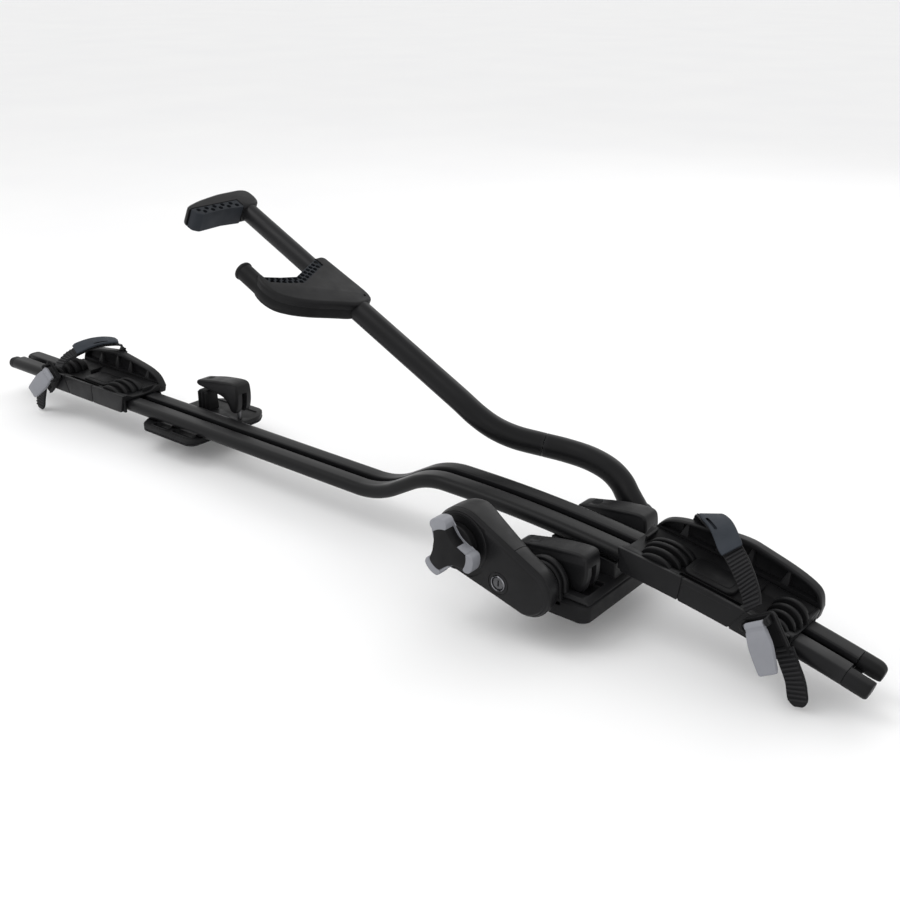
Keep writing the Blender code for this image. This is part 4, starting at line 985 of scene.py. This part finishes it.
def build_strap(holder, line, pad_start):
    stations = strap_stations(holder, line)
    holder.piece("wheel_strap", ribbed(stations, 3.0, 2.0), "strap", "strap")
    chosen = stations[pad_start:PAD_END]
    rings = []
    for i, station in enumerate(chosen):
        t = i / (len(chosen) - 1)
        ease = min(1.0, min(t, 1 - t) * 14)
        width = PAD_WIDTH * (0.93 + 0.07 * ease)
        thick = PAD_THICK * (0.55 + 0.45 * ease)
        crown = [(a, b + 0.5 * (1 - (2 * a / width) ** 2) * (1 if b > 1 else 0))
                 for a, b in rounded_box((-width / 2, 0), (width / 2, thick), 1.1, 4)]
        rings.append([p + station[3] * PAD_RISE for p in ring_at(station, crown)])
    centre, along, side, out = between(chosen, 24.0)
    cutter = skin([[centre + along * a + side * s + out * d for a, s in
                    rounded_box((-11.0, -1.6), (11.0, 1.6), 1.4, 4)] for d in (PAD_RISE + 1.4, 14)])
    cutter.transform(Matrix.Translation(side * 8.0 * holder.facing))
    holder.piece("rim_cushion", shaped(skin(rings), cutting(cutter)), "pad", "rim_pad")


def buckle_axes():
    down = Vector(LEVER_DOWN).normalized()
    across = Vector((0, -1, 0)).cross(down).normalized()
    return down, across, down.cross(across).normalized()


def build_buckle_lever(holder):
    """Thumb lever: crowned, widest above its middle, with a rolled lip at its hinge end."""
    down, across, out = buckle_axes()
    rows = [(-8.0, 9.2, 1.6), (-7.4, 10.0, 2.4), (-6.2, 10.6, 3.0), (-4.0, 10.9, 3.2),
            (-2.6, 10.9, 3.2), (-1.8, 10.7, 2.4), (0, 10.7, 2.3), (1.2, 10.8, 2.4), (2.0, 11.0, 3.1),
            (8, 11.9, 3.2), (14, 12.7, 3.2), (19, 12.8, 3.1), (28, 12.1, 3.0), (36, 11.3, 2.8),
            (42, 10.6, 2.6), (44.6, 10.0, 2.3), (45.6, 9.2, 1.8), (46.0, 8.4, 1.2)]
    rings = []
    for t, half, thick in rows:
        t = 5.2 + t * 0.97
        outline = rounded_box((-half, -1.92 - 0.4 * thick), (half, thick), 1.15, 5)
        crowned = [(a, b + (0.45 * (1 - (a / half) ** 2) if b > 0 else 0)) for a, b in outline]
        rings.append([BUCKLE_HINGE + down * t + across * a + out * b for a, b in crowned])
    holder.piece("ratchet_lever", holder.bent(skin(rings)), "grey", "buckle_lever", sharp=60)


def build_buckle(holder, tail_line):
    down, across = buckle_axes()[:2]
    flat, out = Vector((down.x, 0, down.z)).normalized(), Vector((0, -1, 0))
    wide = out.cross(flat).normalized()
    centre = BUCKLE_HINGE + flat * 18.0 + across * 2.0
    centre.y = -42.3

    def part(outline, low, high, width):
        rings = [[centre + flat * a + wide * b + out * t for a, b in outline] for t in (low, high)]
        return shaped(skin(rings), rounding(width, 3, 30))

    base = part(eased([(-24, -15), (-20, -17.5), (16, -17.5), (24, -13), (24, 13), (16, 17.5),
                       (-20, 17.5), (-24, 15)], 4, 4), -2.7, 0.6, 1.0)
    rails = [part(eased([(-23, s - 1.5), (19, s - 1.5), (22.5, s), (19, s + 1.5), (-23, s + 1.5)],
                        1, 3), -1, 2.7, 0.8) for s in (-15.6, 15.6)]
    bars = [part(eased([(a - 1.2, -15), (a + 1.2, -15), (a + 1.2, 15), (a - 1.2, 15)], 0.5, 2),
                 0, 1.9, 0.5) for a in (-21, 14, 19)]
    ears = []
    for side in (-1, 1):
        ear = BUCKLE_HINGE + across * side * 14.0
        ear.y = -50.0
        outline = rounded_box((-3.8, -9), (4.2, 6.5), 3.4, 6)
        ears.append(shaped(skin([[ear + flat * a + out * b + wide * t for a, b in outline]
                                 for t in (-1.6, 1.6)]), rounding(0.7, 3, 40)))
    cap = [lathe(BUCKLE_HINGE + across * side * 15.4, across * side,
                 [(0, 2.6), (0.7, 2.6), (1.1, 2.2), (1.2, 1.0)], 24) for side in (-1, 1)]
    parts = [base] + rails + bars + ears + cap
    holder.piece("ratchet_frame", holder.bent(merge(parts)), "plastic", "buckle_frame")

    path = smooth_path([holder.point(*p) for p in tail_line], 12)
    ahead = (path[1] - path[0]).normalized()
    path = [path[0] - ahead * t for t in (14.0, 10.5, 7.0, 3.5)] + path
    ahead = (path[-1] - path[-2]).normalized()
    path += [path[-1] + ahead * t for t in (1.5, 3.0, 4.2, 5.2, 6.0, 6.5)]
    stations = [station_at(path, i, holder.direction(-1, 0)) for i in range(len(path))]
    holder.piece("strap_end", ribbed(stations, 1.5, 3.0, tip=True), "strap", "strap_tail")


def build_holders():
    for prefix, x, facing, pad_start, line, tail in (
            ("front", FRONT_HOLDER_X, 1, 27,
             [(-52, 46.8, 12), (-50, 47.0, 26), (-47, 45.4, 34.8), (-35, 32, 43.5), (-17, 18, 47.5),
              (1, 5, 42.5), (22, -9, 36), (45, -29, 28.5), (56, -41, 21)],
             [(105.5, -41.5, -11.8), (119, -42.5, -27), (129, -44, -44)]),
            ("rear", REAR_HOLDER_X, -1, 23,
             [(10, 47.6, 18), (11, 48.0, 34), (14, 46.8, 44.5), (24, 32, 49), (36, 14, 48),
              (48, -4, 42), (54, -20, 35), (54, -33, 29), (53, -41, 23.5)],
             [(104, -41.5, -19), (109, -42.5, -35), (112, -44, -51)])):
        holder = Holder(prefix, x, facing)
        build_tray(holder)
        build_side_cover(holder)
        build_hoop(holder)
        build_strap(holder, line, pad_start)
        build_buckle(holder, tail)
        build_buckle_lever(holder)


# ---- Carried-over CAD pieces
def finish_cad_nodes():
    """Pins, bolts, shafts and the foot's pad keep their CAD shape, with eased edges."""
    for name, obj in frame["nodes"].items():
        if obj.hide_render:
            continue
        rubber = name.endswith("pad")
        for slot in obj.material_slots:
            slot.material = MATS["rubber" if rubber else "steel"]
        mod = obj.modifiers.new("edges", "BEVEL")
        mod.width, mod.segments, mod.limit_method = (0.0008 if rubber else 0.0004), 2, "ANGLE"
        mod.angle_limit = radians(40)


# ---- Stage, light and camera
def stage_material():
    mat = bpy.data.materials.new("studio_floor")
    mat.use_nodes = True
    tree = mat.node_tree
    place = tree.nodes.new("ShaderNodeTexCoord").outputs["Object"]
    colour = ramp(tree, noise(tree, place, 2.0), (0.90, 0.90, 0.905), (0.92, 0.92, 0.92))
    shader = tree.nodes["Principled BSDF"]
    tree.links.new(colour, shader.inputs["Base Color"])
    shader.inputs["Roughness"].default_value = 0.7
    return mat


def area_light(name, place, aim, size, power):
    light = bpy.data.lights.new(name, "AREA")
    light.shape, light.size, light.energy = "DISK", size, power
    obj = placed(name, light)
    obj.location = place
    obj.rotation_euler = (Vector(aim) - Vector(place)).to_track_quat("-Z", "Y").to_euler()


def build_stage():
    floor_z, far = CAD_BOX[0][2] - 0.002, FLOOR_HALF
    corners = ((-far, -far), (far, -far), (far, far), (-far, far))
    floor = skin([[(x, y, floor_z + lift) for x, y in corners]
                  for lift in (-0.02, 0.0)])
    floor.materials.append(stage_material())
    placed("floor", floor)
    world = bpy.data.worlds.new("studio")
    bpy.context.scene.world = world
    world.use_nodes = True
    sky = world.node_tree.nodes["Background"].inputs
    sky["Color"].default_value = (1.0, 1.0, 1.0, 1.0)
    sky["Strength"].default_value = 0.95
    bpy.context.scene.view_settings.view_transform = "Standard"
    area_light("key", (-1.2, -0.9, 2.2), (-0.35, 0, 0.1), 1.5, 14)
    area_light("fill", (1.4, -1.8, 0.9), (-0.3, 0, 0.1), 1.6, 5)
    area_light("back", (-0.3, 2.2, 1.6), (-0.4, 0, 0.1), 1.8, 10)


def build_camera():
    """The photo's view, solved from the rail, feet and arm in it."""
    camera = bpy.data.cameras.new("camera")
    camera.lens, camera.sensor_width = 47.08, 36.0
    obj = placed("camera", camera)
    obj.location = (0.6011, -0.9940, 0.6467)
    pitch, heading = radians(23.1), radians(39.18)
    obj.rotation_euler = (radians(90) - pitch, 0, heading)
    bpy.context.scene.camera = obj


# ---- The whole carrier
build_rail()
build_foot()
for side, name in ((-1, "near"), (1, "far")):
    build_lever(f"foot_{name}_lever", FRONT_LEVER_PIVOT, side * LEVER_Y, f"front_{name}_lever")
build_lever("rear_cam_handle", REAR_LEVER_PIVOT, LEVER_Y, "rear_lever")
build_rear_foot()
build_arm()
build_claw()
build_upper_jaw()
build_housing()
build_knob()
build_holders()
finish_cad_nodes()
build_stage()
build_camera()
